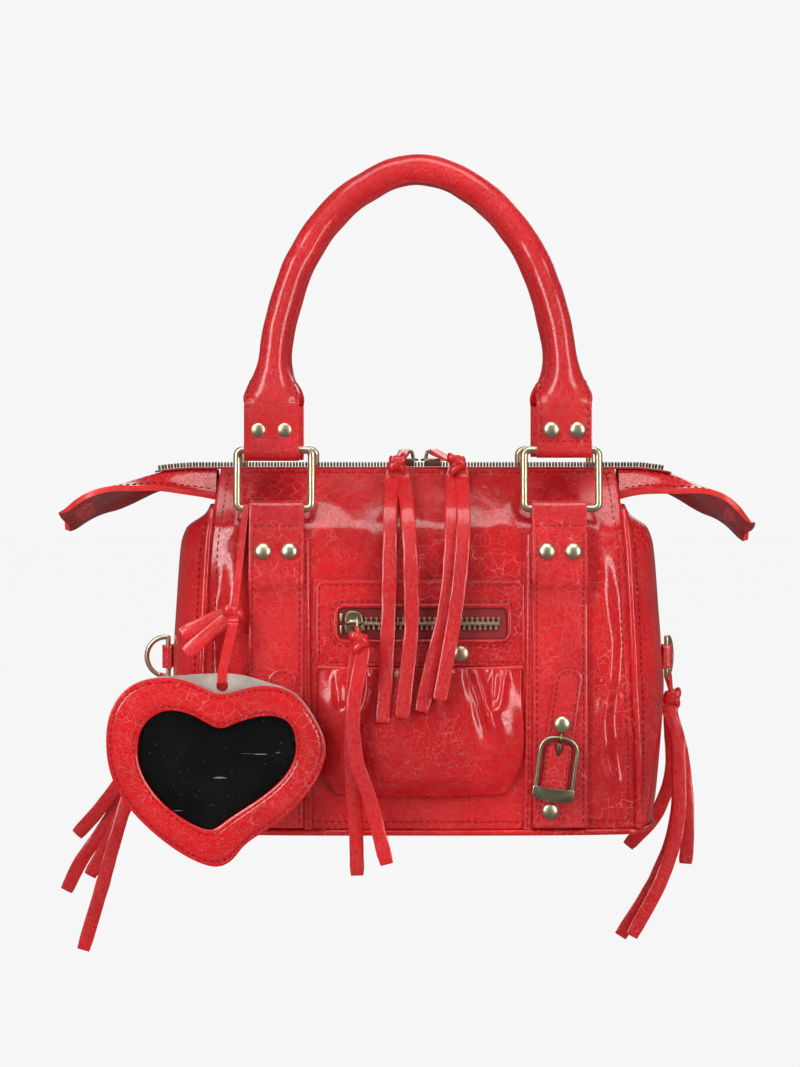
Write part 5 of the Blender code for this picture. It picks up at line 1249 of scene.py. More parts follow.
def makeHandleTrim(word, facing):
    # whip stitches where the rolled edges meet, and the sewn and riveted tabs
    f = handleForm
    outward = -facing * forward
    bar = ringTop(facing)
    outer = facing * (abs(bar.y) + f["plate"] / 2 + f["gap"] + f["leather"])
    lacing, thread, rivets = bmesh.new(), bmesh.new(), bmesh.new()
    for side in (-1, 1):
        middle = side * f["centre"]
        low, high = f["whipSpan"]
        for k in range(f["whips"]):
            share = low + (high - low) * (k + 0.5) / f["whips"]
            a, outA = handleSkin(share, side, facing, -f["whipEdge"], 0.0002)
            b, outB = handleSkin(share + 0.006, side, facing, f["whipEdge"], 0.0002)
            crest = a.lerp(b, 0.5) + 0.0007 * (outA + outB).normalized()
            rise, fall = a.lerp(crest, 0.5) + 0.0003 * outA, b.lerp(crest, 0.5) + 0.0003 * outB
            ends = a - 0.0006 * outA, b - 0.0006 * outB
            tubeShape([ends[0], rise, crest, fall, ends[1]], f["whipThread"], sides=6, shape=lacing)
        y, z = outer + facing * 0.0001, bar.z + 0.0042
        row = [Vector((middle + f["tabHalf"] * v, y, z)) for v in steps(12, -0.9, 0.9)]
        sewAlong(thread, [(place, outward) for place in row])
        for edge in (-0.86, 0.86):
            x = middle + f["tabHalf"] * edge
            rise = [(Vector((x, outer, z)), outward) for z in steps(12, bar.z + 0.005, bar.z + 0.0215)]
            taper = [handleSkin(share, side, facing, edge * 0.98) for share in steps(12, 0.02, 0.17)]
            sewAlong(thread, rise + taper)
        for sign in (-1, 1):
            place = Vector((middle + sign * rivetLook["spacing"] / 2, outer, bar.z + f["rivetAbove"]))
            rivetHead(rivets, place, outward)
            behind = place - 2 * abs(outer - bar.y) * outward
            rivetHead(rivets, behind, -outward, rivetLook["backDome"])
    body = f"{word}_handle"
    keepPiece(f"{word}HandleLacing", lacing, [edgePaint], body=body, smooth=70)
    keepThread(f"{word}HandleStitching", thread, body)
    stands = [f"{word}_{hand}_handle_rivets" for hand, side in hands]
    keepMetal(f"{word}HandleRivets", rivets, stands, body=body, smooth=50)


for word, facing in faces:
    for hand, side in hands:
        makeStrap(word, facing, hand, side)
        makeRing(word, facing, hand, side)
    makeHandle(word, facing)
makeStrapWelts()


# the front pocket: a stitched panel with a zip window over a gathered pouch

print("pocket")

pocketForm = {
    "centre": 0.001,
    "halfWidth": 0.049,
    "top": 0.192,
    "band": 0.232,
    "bottom": 0.291,
    "seat": 0.0006,
    "leather": 0.0016,
    "bulge": 0.0115,
    "windowCentre": 0.0022,
    "windowDrop": 0.2118,
    "windowHalf": 0.041,
    "windowHalfHigh": 0.0083,
    "windowCorner": 0.004,
    "corner": 0.003,
    "lip": 0.0011,
    "hem": 0.0010,
    "rivet": (0.0200, -0.2260),
    "backing": {"half": 0.0503, "narrowing": 0.0035, "top": 0.1912, "bottom": 0.272, "thickness": 0.0006},
    "steps": tuple(k / 6 for k in range(7)),
    "widthShares": (0.97, 0.975, 0.985, 1, 0.99, 0.94, 0.80),
    "bulgeShares": (0.22, 0.50, 0.74, 0.92, 1, 0.86, 0.02),
}
# each pleat's share across at its top and foot, its spread and height, and how far down it reaches
pouchPleats = (
    (0.56, 0.80, 0.050, 0.0030, 0.66),
    (0.80, 0.66, 0.045, 0.0020, 0.42),
    (-0.60, -0.76, 0.055, 0.0026, 0.62),
    (-0.84, -0.70, 0.040, 0.0014, 0.40),
    (0.24, 0.30, 0.070, 0.0009, 0.90),
    (-0.22, -0.16, 0.085, 0.0008, 0.80),
)
# the ends of each straight seam and how high it lies
pocketSeams = (
    ((-0.0465, -0.1937), (0.0485, -0.1937), 0.0022),
    ((-0.0465, -0.1937), (-0.0465, -0.2300), 0.0022),
    ((0.0485, -0.1937), (0.0485, -0.2300), 0.0022),
    ((-0.0460, -0.2298), (0.0480, -0.2298), 0.0022),
    ((-0.0478, -0.2335), (-0.0462, -0.2700), 0.0009),
    ((0.0497, -0.2335), (0.0482, -0.2700), 0.0009),
)


def roundedLoop(centre, halfWide, halfHigh, corner):
    arcs = []
    for turn, (sx, sz) in enumerate(((1, 1), (-1, 1), (-1, -1), (1, -1))):
        x, z = centre[0] + sx * (halfWide - corner), centre[1] + sz * (halfHigh - corner)
        turned = arc(5, turn / 2, turn / 2 + 0.5)
        arcs.append([Vector((x + corner * cosine, 0, z + corner * sine)) for cosine, sine in turned])
    points = []
    for turn, places in enumerate(arcs):
        onward = arcs[(turn + 1) % 4][0]
        points += places
        points += [places[-1].lerp(onward, t) for t in steps(8 if turn % 2 else 30)[1:-1]]
    return points


def frameShape(inner, outer, rows, placeAt, outward):
    # a flat ring between two loops of equally many points
    count = len(inner)

    def ringAt(u, v):
        index = int(round((u + 1) / 2 * count)) % count
        return placeAt(inner[index].lerp(outer[index], (v + 1) / 2), (v + 1) / 2)

    shape = sheetShape(count, rows, ringAt, outward)
    weld(shape, 0.000001)
    return shape


def slabShape(shape, outline, place, levels):
    # a plate with eased edges: the outline drawn at (share of its size, height) levels
    rings = []
    for share, height in levels:
        rings.append(placedRing(shape, [place(x * share, y * share, height) for x, y in outline]))
    return skinRings(shape, rings)


def pouchLift(across, down):
    f = pocketForm
    lift = f["bulge"] * between(f["steps"], f["bulgeShares"], down) * (1 - abs(across) ** 3)
    for top, foot, width, height, reach in pouchPleats:
        middle = top + (foot - top) * smoothStep(0, 0.8, down) + 0.015 * math.sin(9 * down)
        along = (1 - smoothStep(0.55 * reach, reach, down)) * smoothStep(-0.02, 0.10, down)
        spread = width * (1 + 0.9 * down)
        lift += height * along * bell(across - middle, spread)
        hollow = middle + (0.085 if top < 0 else -0.085)
        lift -= 0.55 * height * along * bell(across - hollow, 0.8 * spread)
    ruffle = math.sin(38 * across + 3 * noise.noise(Vector((across * 6, down * 4, 1))))
    gathers = 0.0007 * math.exp(-down / 0.16) * ruffle
    slack = 0.0010 * noise.noise(Vector((across * 3.1, down * 3.4, 7.7))) * smoothStep(0.1, 0.4, down)
    return f["seat"] + f["leather"] + max(lift + (1 - abs(across) ** 6) * (gathers + slack), 0)


def makePocket():
    f = pocketForm
    face = f["seat"] + f["leather"]
    middle = (f["windowCentre"], -f["windowDrop"])
    window = roundedLoop(middle, f["windowHalf"], f["windowHalfHigh"], f["windowCorner"])
    panelMiddle = (f["centre"], -(f["top"] + f["band"]) / 2)
    border = roundedLoop(panelMiddle, f["halfWidth"], (f["band"] - f["top"]) / 2, f["corner"])

    def panelAt(point, share):
        puff = 0.0003 * math.sin(math.pi * share) + 0.00015 * noise.noise(point * 130)
        return onPanel(point.x, point.z, -1, face + puff)

    def backingAt(u, v):
        b = f["backing"]
        down = (1 - v) / 2
        half = b["half"] - b["narrowing"] * smoothStep(0.5, 1, down)
        z = -b["top"] - (b["bottom"] - b["top"]) * down
        return onPanel(f["centre"] + half * u, z, -1, 0.0007 + 0.0004 * (1 - down))

    def pouchAt(u, v):
        down = (1 - v) / 2
        half = f["halfWidth"] * between(f["steps"], f["widthShares"], down)
        sag = 0.0016 * (1 - u * u) * smoothStep(0.6, 1, down)
        z = -f["band"] - 0.0006 - (f["bottom"] - f["band"]) * down - sag
        return onPanel(f["centre"] + half * u, z, -1, pouchLift(u, down))

    out = towards(forward)
    shape = frameShape(window, border, 10, panelAt, out)
    keepPiece("pocketPanel", shape, painted, stands=["pocket_zip_panel"], wall=f["leather"], edge=0.0004)
    lip = [onPanel(p.x, p.z, -1, face - 0.0002) for p in window]
    lipShape = tubeShape(lip, f["lip"], closed=True, seed=forward)
    keepPiece("pocketWindowLip", lipShape, [redLeather], smooth=70)
    shape = sheetShape(60, 40, backingAt, out)
    keepPiece("pocketBacking", shape, painted, wall=f["backing"]["thickness"], edge=0.0002)
    kept = {"stands": ["pocket_pouch"], "smooth": 180, "wall": f["leather"] * 0.8, "edge": 0}
    keepPiece("pocketPouch", sheetShape(150, 90, pouchAt, out), painted, **kept)
    hem = []
    for u in steps(60, -0.985, 0.985):
        bow = 1 - u * u
        z = -f["band"] - 0.0002 - 0.0012 * bow
        hem.append(onPanel(f["centre"] + f["halfWidth"] * u, z, -1, face + 0.0003 + 0.0006 * bow))
    keepPiece("pocketBandHem", tubeShape(hem, f["hem"]), [edgePaint], smooth=70)
    thread = bmesh.new()
    wide, high = f["windowHalf"] + 0.0024, f["windowHalfHigh"] + 0.0022
    around = roundedLoop(middle, wide, high, f["windowCorner"] + 0.002)
    sewAlong(thread, panelRoute([(p.x, p.z) for p in around + around[:1]], face + 0.0002))
    for (x1, z1), (x2, z2), lift in pocketSeams:
        line = zip(steps(30, x1, x2), steps(30, z1, z2))
        sewAlong(thread, panelRoute(line, lift + 0.0001))
    keepThread("pocketStitching", thread)
    rivet = rivetHead(bmesh.new(), onPanel(*f["rivet"], -1, face + 0.0001), panelNormal(*f["rivet"]))
    keepMetal("pocketRivet", rivet, ["pocket_rivet"], smooth=50)


pocketZip = {
    "edgeGap": 0.0007,
    "tape": 0.0008,
    "tapeLift": 0.0009,
    "pitch": 0.00250,
    "first": 0.0130,
    "unused": 0.0160,
    "lift": 0.0018,
    "edge": 0.00022,
    "sliderIn": 0.0085,
    "stopIn": 0.0026,
    "stopRise": 0.0028,
    "stop": (0.0013, 0.0040, 0.0014),
}
# each tooth's blocks: how far up from the zip's middle, and the size
toothBlocks = (
    (0.0011, (0.00082, 0.0030, 0.0013)),
    (-0.0002, (0.00125, 0.0012, 0.0016)),
    (0.0025, (0.0014, 0.0011, 0.0015)),
)


def makePocketZip():
    f = pocketForm
    s = pocketZip

    def tapeAt(u, v):
        x = u * (f["windowHalf"] - s["edgeGap"])
        into = max(abs(x) - (f["windowHalf"] - f["windowCorner"]), 0) / f["windowCorner"]
        half = f["windowHalfHigh"] - s["edgeGap"] - f["windowCorner"] * (1 - math.sqrt(max(1 - into**2, 0)))
        return onPanel(f["windowCentre"] + x, -f["windowDrop"] + half * v, -1, f["seat"] + s["tapeLift"])

    kept = {"stands": ["pocket_zip"], "slot": "zip_tape", "wall": s["tape"], "rim": 0, "edge": 0}
    keepPiece("pocketZipTape", sheetShape(70, 12, tapeAt, towards(forward)), [pocketTape], **kept)
    teeth = bmesh.new()
    z = -f["windowDrop"]
    for k in range(int((2 * f["windowHalf"] - s["unused"]) / s["pitch"] * 2)):
        x = f["windowCentre"] - f["windowHalf"] + s["first"] + k * s["pitch"] / 2
        sign = 1 if k % 2 else -1
        normal = panelNormal(x, z)
        rising = rightward.cross(normal)
        rising = rising if rising.z > 0 else -rising
        centre = onPanel(x, z, -1, f["seat"] + s["lift"])
        for offset, size in toothBlocks:
            turn = turnedTo(rightward, rising, normal, centre + sign * offset * rising)
            addBlock(teeth, turn, size, s["edge"])
    keepMetal("pocketZipTeeth", teeth, smooth=38)


# zip sliders with their crowns, each plate and flange drawn as (share of its size, height) levels

sliderForm = {
    "plate": 0.0012,
    "inner": 0.0031,
    "crownHalf": 0.0036,
    "crownHigh": 0.0034,
    "wire": 0.00085,
    "gap": 0.0003,
    "corner": 3.2,
    "topX": 0.001,
    "apart": 0.0067,
}
topSlider = {"tape": 0.0011, "teeth": 0.0038, "length": 0.0122, "half": 0.0047}
pocketSlider = {"tape": 0.0008, "teeth": 0.00224, "length": 0.0086, "half": 0.0060}
flangeShares = ((1, 0.4), (0.8, 1), (-0.8, 1), (-1, 0.4), (-1, -1), (1, -1))
plateShares = ((1, 0.6), (0.8, 1), (-0.8, 1), (-1, 0.6), (-1, -0.6), (-0.8, -1), (0.8, -1), (1, -0.6))


def squaredOval(count, power, halfLong, halfWide, taper=0):
    points = []
    for c, s in arc(count, 0, 2)[:-1]:
        reach = (abs(c) ** power + abs(s) ** power) ** (-1 / power)
        points.append((halfLong * reach * c, halfWide * (1 - taper * max(c, 0)) * reach * s))
    return points


def makeSlider(name, body, stands, slot, centre, axes, form):
    f = sliderForm
    along, across, out = axes
    floor = form["teeth"] + f["gap"]
    foot = form["tape"] + f["gap"]
    top = floor + f["plate"]
    flangeMiddle, flangeHalf = (f["inner"] + form["half"]) / 2, (form["half"] - f["inner"]) / 2

    def place(x, y, height):
        return centre + x * along + y * across + height * out

    def flangePlace(sign):
        return lambda x, y, height: place(x, sign * (flangeMiddle + y), height)

    shape = bmesh.new()
    outline = squaredOval(36, f["corner"], form["length"] / 2, form["half"], 0.12)
    levels = ((0.97, floor), (1, floor + 0.0002), (1, top - 0.0004), (0.95, top - 0.0001), (0.86, top))
    slabShape(shape, outline, place, levels)
    flange = [(form["length"] * 0.34 * x, flangeHalf * y * 0.96) for x, y in flangeShares]
    for sign in (-1, 1):
        slabShape(shape, flange, flangePlace(sign), ((0.9, foot), (1, foot + 0.0002), (1, floor + 0.0003)))
    crown = []
    base = floor + f["plate"] / 2
    for c, s in arc(18, 0, 1):
        rise = (f["crownHigh"] + f["plate"] / 2) * min(s * 1.6, 1)
        crown.append(place(-c * f["crownHalf"], 0, base + rise))
    tubeShape(crown, f["wire"], shape=shape, seed=across)
    keepMetal(name, shape, [stands], darkBrass, slot, body=body, smooth=50)


def makeSliders():
    for hand, side in hands:
        middle = Vector((sliderForm["topX"] + side * sliderForm["apart"], 0, ridgeAt(0)))
        axes = (-side * rightward, -forward, upward)
        fitted = (middle, axes, topSlider)
        makeSlider(f"{hand}ZipSlider", f"{hand}_slider", f"{hand}_zip_slider", "dark_brass", *fitted)
    f = pocketForm
    edge = f["windowCentre"] - f["windowHalf"]
    z = -f["windowDrop"]
    normal = panelNormal(edge + pocketZip["sliderIn"], z)
    rising = (upward - normal.z * normal).normalized()
    seat = plainPanel(edge + pocketZip["sliderIn"], z) + f["seat"] * normal
    axes = (rightward, rising, normal)
    fitted = (seat, axes, pocketSlider)
    makeSlider("pocketZipSlider", "pocket_slider", "pocket_zip_slider", "pale_brass", *fitted)
    raised = pocketSlider["teeth"] + sliderForm["gap"] + sliderForm["plate"]

    def capAt(x, y, height):
        return seat + x * rightward + y * rising + height * normal

    outline = [(x * 0.0023, y * 0.0016) for x, y in plateShares]
    levels = ((1, raised - 0.0002), (1, raised + 0.0007), (0.85, raised + 0.0010))
    plate = slabShape(bmesh.new(), outline, capAt, levels)
    keepMetal("pocketSliderPlate", plate, body="pocket_slider", smooth=40)
    stops = bmesh.new()
    for rise in (-pocketZip["stopRise"], pocketZip["stopRise"]):
        spot = onPanel(edge + pocketZip["stopIn"], z + rise, -1, f["seat"] + 0.0016)
        addBlock(stops, turnedTo(*axes, spot), pocketZip["stop"], 0.0003, segments=2)
    keepMetal("pocketZipStops", stops, smooth=50)


# tabs and buckles on the front straps

tabForm = {
    "halfWidth": 0.0064,
    "thickness": 0.0014,
    "top": 0.233,
    "bottom": 0.3065,
    "topShift": 0.004,
    "bottomShift": -0.006,
    "lift": 0.0027,
    "seamInset": 0.0014,
    "rivets": {"Upper": 0.2590, "Lower": 0.2997},
    "keeperHalf": 0.0058,
    "keeperLift": 0.0009,
    "keeper": 0.0006,
    "notchHalf": 0.0023,
    "notchDeep": 0.0048,
}
buckleForm = {
    "top": 0.2654,
    "bottom": 0.2915,
    "half": 0.0088,
    "wire": 0.0011,
    "lift": 0.0057,
    "barHigh": 0.0062,
    "barThick": 0.0016,
    "barPast": 0.0013,
    "barBow": 0.0009,
    "barCorner": 7,
    "prong": 0.0007,
    "prongLength": 0.0085,
    "prongGap": 0.0004,
    "prongDip": 0.0006,
    "prongShares": (1, 1.5, 1.75, 1.8, 1.8, 1.75, 1.6, 1.25, 0.6),
}


def tabMiddle(side, drop):
    f = tabForm
    share = (drop - f["top"]) / (f["bottom"] - f["top"])
    return side * strapForm["centre"] + f["topShift"] + (f["bottomShift"] - f["topShift"]) * share


def tabPoint(side, drop, offset, lift):
    return onPanel(tabMiddle(side, drop) + offset, -drop, -1, lift)


def makeTab(hand, side):
    f = tabForm
    b = buckleForm
    face = f["lift"] + f["thickness"]

    def tabAt(u, v):
        gone = (f["bottom"] - f["top"]) * ((1 - v) / 2) ** 1.5
        half = f["halfWidth"]
        if gone < half:
            half = math.sqrt(max(half * half - (half - gone) ** 2, 0)) + 0.0004
        return tabPoint(side, f["top"] + gone, min(half, f["halfWidth"]) * u, face + 0.0003 * (1 - u**4))

    def keeperAt(u, v):
        into = abs(u) * f["keeperHalf"] / f["notchHalf"]
        notch = f["notchDeep"] * math.sqrt(max(1 - into**2, 0))
        top = b["top"] + 0.0028 + 0.0022 * abs(u) ** 6 + notch
        drop = top + (b["bottom"] + 0.0015 - top) * (1 - v) / 2
        return tabPoint(side, drop, f["keeperHalf"] * u, face + f["keeperLift"])

    out = towards(forward)
    kept = {"stands": [f"{hand}_buckle_tab"], "wall": f["thickness"], "edge": 0.0004}
    keepPiece(f"{hand}BuckleTab", sheetShape(12, 70, tabAt, out), strapped, **kept)
    keepPiece(f"{hand}BuckleKeeper", sheetShape(48, 24, keeperAt, out), strapped, wall=f["keeper"], edge=0)
    inset = f["halfWidth"] - f["seamInset"]
    drops = steps(39, f["top"] + f["halfWidth"], f["bottom"] - 0.002)
    seam = [(drop, inset) for drop in reversed(drops)]
    seam += [(drops[0] - inset * sine, inset * cosine) for cosine, sine in arc(12, 0, 1)[1:-1]]
    seam += [(drop, -inset) for drop in drops]
    route = []
    for drop, offset in seam:
        lift = face + (f["keeperLift"] if b["top"] + 0.004 < drop < b["bottom"] else 0.0003)
        normal = panelNormal(tabMiddle(side, drop) + offset, -drop)
        route.append((tabPoint(side, drop, offset, lift), normal))
    thread = bmesh.new()
    sewAlong(thread, route, pitch=0.0027, length=0.0019)
    keepThread(f"{hand}TabStitching", thread)
    for word, drop in f["rivets"].items():
        normal = panelNormal(tabMiddle(side, drop), -drop)
        rivet = rivetHead(bmesh.new(), tabPoint(side, drop, 0, face + 0.0003), normal)
        keepMetal(f"{hand}{word}TabRivet", rivet, [f"{hand}_{word.lower()}_tab_rivet"], smooth=50)


def buckleAxes(side):
    b = buckleForm
    normal = panelNormal(tabMiddle(side, b["top"]), -b["top"])
    arch = tabPoint(side, b["top"], 0, b["lift"])
    down = (tabPoint(side, b["bottom"], 0, b["lift"]) - arch).normalized()
    across = down.cross(normal).normalized()
    across = across if across.x > 0 else -across
    out = down.cross(across).normalized()
    return arch, (out if out.dot(normal) > 0 else -out), down, across


def makeBuckle(hand, side):
    b = buckleForm
    half = b["half"]
    arch, out, down, across = buckleAxes(side)
    length = b["bottom"] - b["top"]
    rise = half * 0.8
    path = []
    for c, s in arc(28, 0, 1):
        bow = math.copysign(abs(c) ** 0.75, c)
        path.append(arch + half * bow * across + rise * (1 - s**0.85) * down)
    path += [arch - half * across + at * down for at in steps(9, rise, length)[1:]]
    path += [arch + at * across + length * down for at in steps(8, -half, half)[1:-1]]
    path += [arch + half * across + at * down for at in steps(9, length, rise)[:-1]]
    shape = tubeShape(path, b["wire"], sides=14, closed=True, seed=out)

    def place(x, y, height):
        bow = b["barBow"] * (1 - (x / half) ** 2)
        return arch + length * down + x * across + (y + bow) * down + height * out

    outline = squaredOval(48, b["barCorner"], half + b["barPast"], b["barHigh"] / 2)
    thick = b["barThick"] / 2
    levels = [(0.97, -thick), (1, -thick + 0.0003)]
    levels += [(1, thick - 0.0001), (0.975, thick + 0.0002), (0.93, thick + 0.0004)]
    slabShape(shape, outline, place, levels)
    keepMetal(f"{hand}Buckle", shape, [f"{hand}_buckle"], buckleBrass, smooth=45)
    ring = b["wire"] + b["prongGap"] + b["prong"]
    eye = [arch + ring * (c * down + s * out) for c, s in arc(20, 0, 2)[:-1]]
    prong = tubeShape(eye, b["prong"], closed=True, seed=across)
    tip = arch + b["prongLength"] * down - b["prongDip"] * out
    stem = [(arch + ring * down).lerp(tip, t) for t in steps(8)]
    widths = [b["prong"] * share for share in b["prongShares"]]
    tubeShape(stem, widths, sides=12, flat=0.62, shape=prong, seed=across)
    kept = {"slot": "dark_brass", "body": f"{hand}_prong", "smooth": 50}
    keepMetal(f"{hand}BuckleProng", prong, [f"{hand}_buckle_prong"], darkBrass, **kept)


makePocket()
makePocketZip()
makeSliders()
for hand, side in hands:
    makeTab(hand, side)
    makeBuckle(hand, side)


# laces: flat strips of leather with lighter cut edges, looped, knotted and left to hang

print("laces")

laceForm = {
    "thickness": 0.0011,
    "edge": 0.00022,
    "width": 0.0068,
    "loop": 0.0036,
    "narrow": 0.0022,
    "knot": 0.0044,
    "squash": 0.85,
    "clearance": 0.0004,
    "endGap": 0.0004,
    "topPull": 0.126,
    "pocketPull": 0.115,
    "tassel": 0.132,
    "charmTail": 0.030,
}
# each band's tilt, turn, reach, width, rise and lobe
knotBands = {
    "Over": (1, 0.30, 1.00, 0.0040, 0.0006, 1),
    "Under": (-1.2, -0.42, 0.90, 0.0036, -0.0012, 0.3),
}
# across, forwards and down from the wire that each pull hangs on, as shares of its tails' length
pullShares = {
    "left": (
        ((-0.050, 0.054, 0.087), (-0.058, 0.066, 0.233), (-0.062, 0.063, 0.432),
         (-0.066, 0.063, 0.614), (-0.074, 0.072, 0.805), (-0.086, 0.104, 1.003)),
        ((-0.014, 0.054, 0.087), (0.006, 0.082, 0.233), (0.017, 0.083, 0.432),
         (0.021, 0.083, 0.614), (0.006, 0.096, 0.805), (-0.014, 0.125, 0.983)),
    ),
    "right": (
        ((0.074, 0.046, 0.087), (0.066, 0.066, 0.233), (0.058, 0.063, 0.432),
         (0.034, 0.063, 0.614), (-0.006, 0.075, 0.773), (-0.049, 0.102, 0.963)),
        ((0.106, 0.054, 0.087), (0.110, 0.082, 0.233), (0.098, 0.083, 0.432),
         (0.074, 0.087, 0.614), (0.042, 0.105, 0.789), (0.018, 0.129, 0.916)),
    ),
    "pocket": (
        ((0.022, 0.168, 0.090), (0.001, 0.171, 0.212), (-0.017, 0.177, 0.351),
         (-0.004, 0.184, 0.507), (0.053, 0.191, 0.681), (0.122, 0.200, 0.942)),
        ((0.001, 0.155, 0.090), (-0.017, 0.148, 0.247), (-0.021, 0.144, 0.438),
         (-0.017, 0.146, 0.620), (-0.004, 0.150, 0.794), (0.001, 0.152, 0.994)),
    ),
}
# outwards, forwards and down from the ring's wire: two long tails and two strands that show beyond them
tasselShares = {
    "left": (
        ((0.022, 0.023, 0.136), (0.063, 0.045, 0.273), (0.116, 0.068, 0.424),
         (0.162, 0.083, 0.576), (0.207, 0.095, 0.742), (0.283, 0.106, 1)),
        ((0.025, -0.023, 0.136), (0.078, -0.045, 0.288), (0.139, -0.061, 0.424),
         (0.215, -0.076, 0.561), (0.313, -0.083, 0.704), (0.366, -0.091, 0.811)),
        ((0.020, 0.01, 0.136), (0.075, 0, 0.27), (0.160, -0.03, 0.40),
         (0.245, -0.06, 0.51), (0.325, -0.08, 0.60)),
        ((0.020, 0.03, 0.136), (0.060, 0.03, 0.28), (0.120, 0.03, 0.45),
         (0.190, 0.02, 0.60), (0.268, 0.01, 0.74)),
    ),
    "right": (
        ((0.008, 0.008, 0.136), (0.035, 0.069, 0.250), (0.035, 0.114, 0.424),
         (0.020, 0.145, 0.561), (-0.033, 0.167, 0.727), (-0.147, 0.190, 0.939)),
        ((0.016, -0.037, 0.136), (0.046, -0.022, 0.257), (0.065, -0.007, 0.379),
         (0.073, 0.008, 0.492), (0.073, 0.016, 0.598), (0.065, 0.023, 0.697)),
        ((0.008, -0.010, 0.136), (0.034, 0.040, 0.250), (0.033, 0.080, 0.424),
         (0.014, 0.110, 0.561), (-0.050, 0.135, 0.727), (-0.185, 0.155, 0.945)),
        ((0.015, -0.060, 0.150), (0.030, -0.150, 0.350), (-0.015, -0.220, 0.530), (-0.127, -0.260, 0.670)),
    ),
}
charmTailShares = (
    ((0.050, -0.033, -0.017), (0.317, -0.033, 0.067), (0.567, -0.033, 0.183), (0.817, -0.033, 0.317)),
    ((0.083, 0.050, 0.050), (0.283, 0.067, 0.200), (0.517, 0.083, 0.400), (0.750, 0.100, 0.600)),
)


def smoothRoute(points, count):
    positions = range(len(points))
    columns = [[point[k] for point in points] for k in range(3)]
    ats = steps(count, 0, len(points) - 1)
    return [Vector([between(positions, column, at) for column in columns]) for at in ats]


def awayFrom(middle):
    return lambda place: place - middle


def laceStrip(name, body, route, widthAt, face=None, axis=None, cup=0.0004, wave=0.0003, outward=None):
    # a strip along a route, turned towards a face direction or held square to an axis
    last = len(route) - 1
    stations = []
    for i, place in enumerate(route):
        tangent = (route[min(i + 1, last)] - route[max(i - 1, 0)]).normalized()
        across = tangent.cross(face) if axis is None else axis - axis.dot(tangent) * tangent
        across = across.normalized()
        out = across.cross(tangent).normalized()
        if face is not None and out.dot(face) < 0:
            out = -out
        stations.append((place, across, out))
    thickness = laceForm["thickness"]

    def placeAt(u, v):
        at = (u + 1) / 2 * last
        low = min(int(at), last - 1)
        place, across, out = (one.lerp(two, at - low) for one, two in zip(stations[low], stations[low + 1]))
        ripple = wave * noise.noise(place * 90 + Vector((3.3 * v, 0, 0)))
        width = widthAt(at / last) * (1 + 0.05 * noise.noise(place * 140))
        lift = thickness / 2 - cup * v * v + ripple
        return place + width / 2 * v * across.normalized() + lift * out.normalized()

    shape = sheetShape(last, 6, placeAt, outward or towards(face))
    keepPiece(name, shape, laced, body=body, wall=thickness, edge=laceForm["edge"])


def tailWidth(share):
    growth = 0.62 + 0.38 * smoothStep(0, 0.10, share)
    return laceForm["width"] * growth * (1 - 0.10 * smoothStep(0.97, 1, share))


def laceTails(name, body, knot, tails, face=forward, count=84):
    for k, tail in enumerate(tails):
        laceStrip(f"{name}Tail{k + 1}", body, smoothRoute([knot, *tail], count), tailWidth, face=face)


def laceLoop(name, body, knot, bar, wire, axis, width):
    # a narrow strip that goes up from the knot, round a wire and back
    f = laceForm
    axis = axis.normalized()
    reach = knot - bar
    onward = (reach - reach.dot(axis) * axis).normalized()
    side = axis.cross(onward).normalized()
    near = wire + f["clearance"] + f["thickness"] / 2
    legs = [(share * reach, near * (1 - 0.6 * share) * side) for share in (0.9, 0.5)]
    points = [knot + f["endGap"] * side]
    points += [bar + along + apart for along, apart in legs]
    points += [bar - near * sine * onward + near * cosine * side for cosine, sine in arc(8, 0, 1)]
    points += [bar + along - apart for along, apart in reversed(legs)]
    points.append(knot - f["endGap"] * side)

    def widthAt(share):
        return width * (1 + 0.35 * (smoothStep(0.25, 0, share) + smoothStep(0.75, 1, share)))

    kept = {"axis": axis, "cup": 0.0001, "wave": 0.0001, "outward": awayFrom(bar)}
    laceStrip(name, body, smoothRoute(points, 66), widthAt, **kept)


def laceKnot(name, body, centre, stands, lean, size=1.0):
    # an overhand knot: two bands wrapped about a small core, one rising and one crossing behind it
    radius = laceForm["knot"] * size
    squash = laceForm["squash"]
    core = bmesh.new()
    ball = Matrix.Diagonal((radius * 0.86, radius * squash * 0.84, radius * 0.95, 1))
    turn = turnedTo(rightward, forward, upward, centre) @ ball
    bmesh.ops.create_uvsphere(core, u_segments=20, v_segments=14, radius=1, matrix=turn)
    keepPiece(f"{name}Core", core, [laceLeather], body=body, stands=[stands], smooth=180)
    for word, (tilt, turned, share, width, rise, lobe) in knotBands.items():

        def placeAt(u, v):
            angle = math.pi * u + turned
            cosine, sine = math.cos(angle), math.sin(angle)
            swell = 1 + 0.16 * lobe * bell(cosine + 1, 0.5) + 0.04 * math.sin(3 * angle)
            reach = radius * share * swell * (1 - 0.20 * v * v)
            spread = width * size * (1 + 0.30 * cosine**2) * v / 2
            height = rise + radius * tilt * lean * math.cos(angle + 0.4) + spread
            return centre + reach * cosine * rightward + squash * reach * sine * forward + height * upward

        shape = sheetShape(56, 8, placeAt, awayFrom(centre))
        weld(shape, 0.000002)
        keepPiece(f"{name}{word}", shape, laced, body=body, wall=laceForm["thickness"], edge=0.0002)


def hangLace(name, body, stands, lean, knot, tails, *loop):
    # a loop round a wire, the knot below it and the tails
    laceLoop(f"{name}Loop", body, knot, *loop)
    laceKnot(f"{name}Knot", body, knot, stands, lean)
    laceTails(name, body, knot, tails)


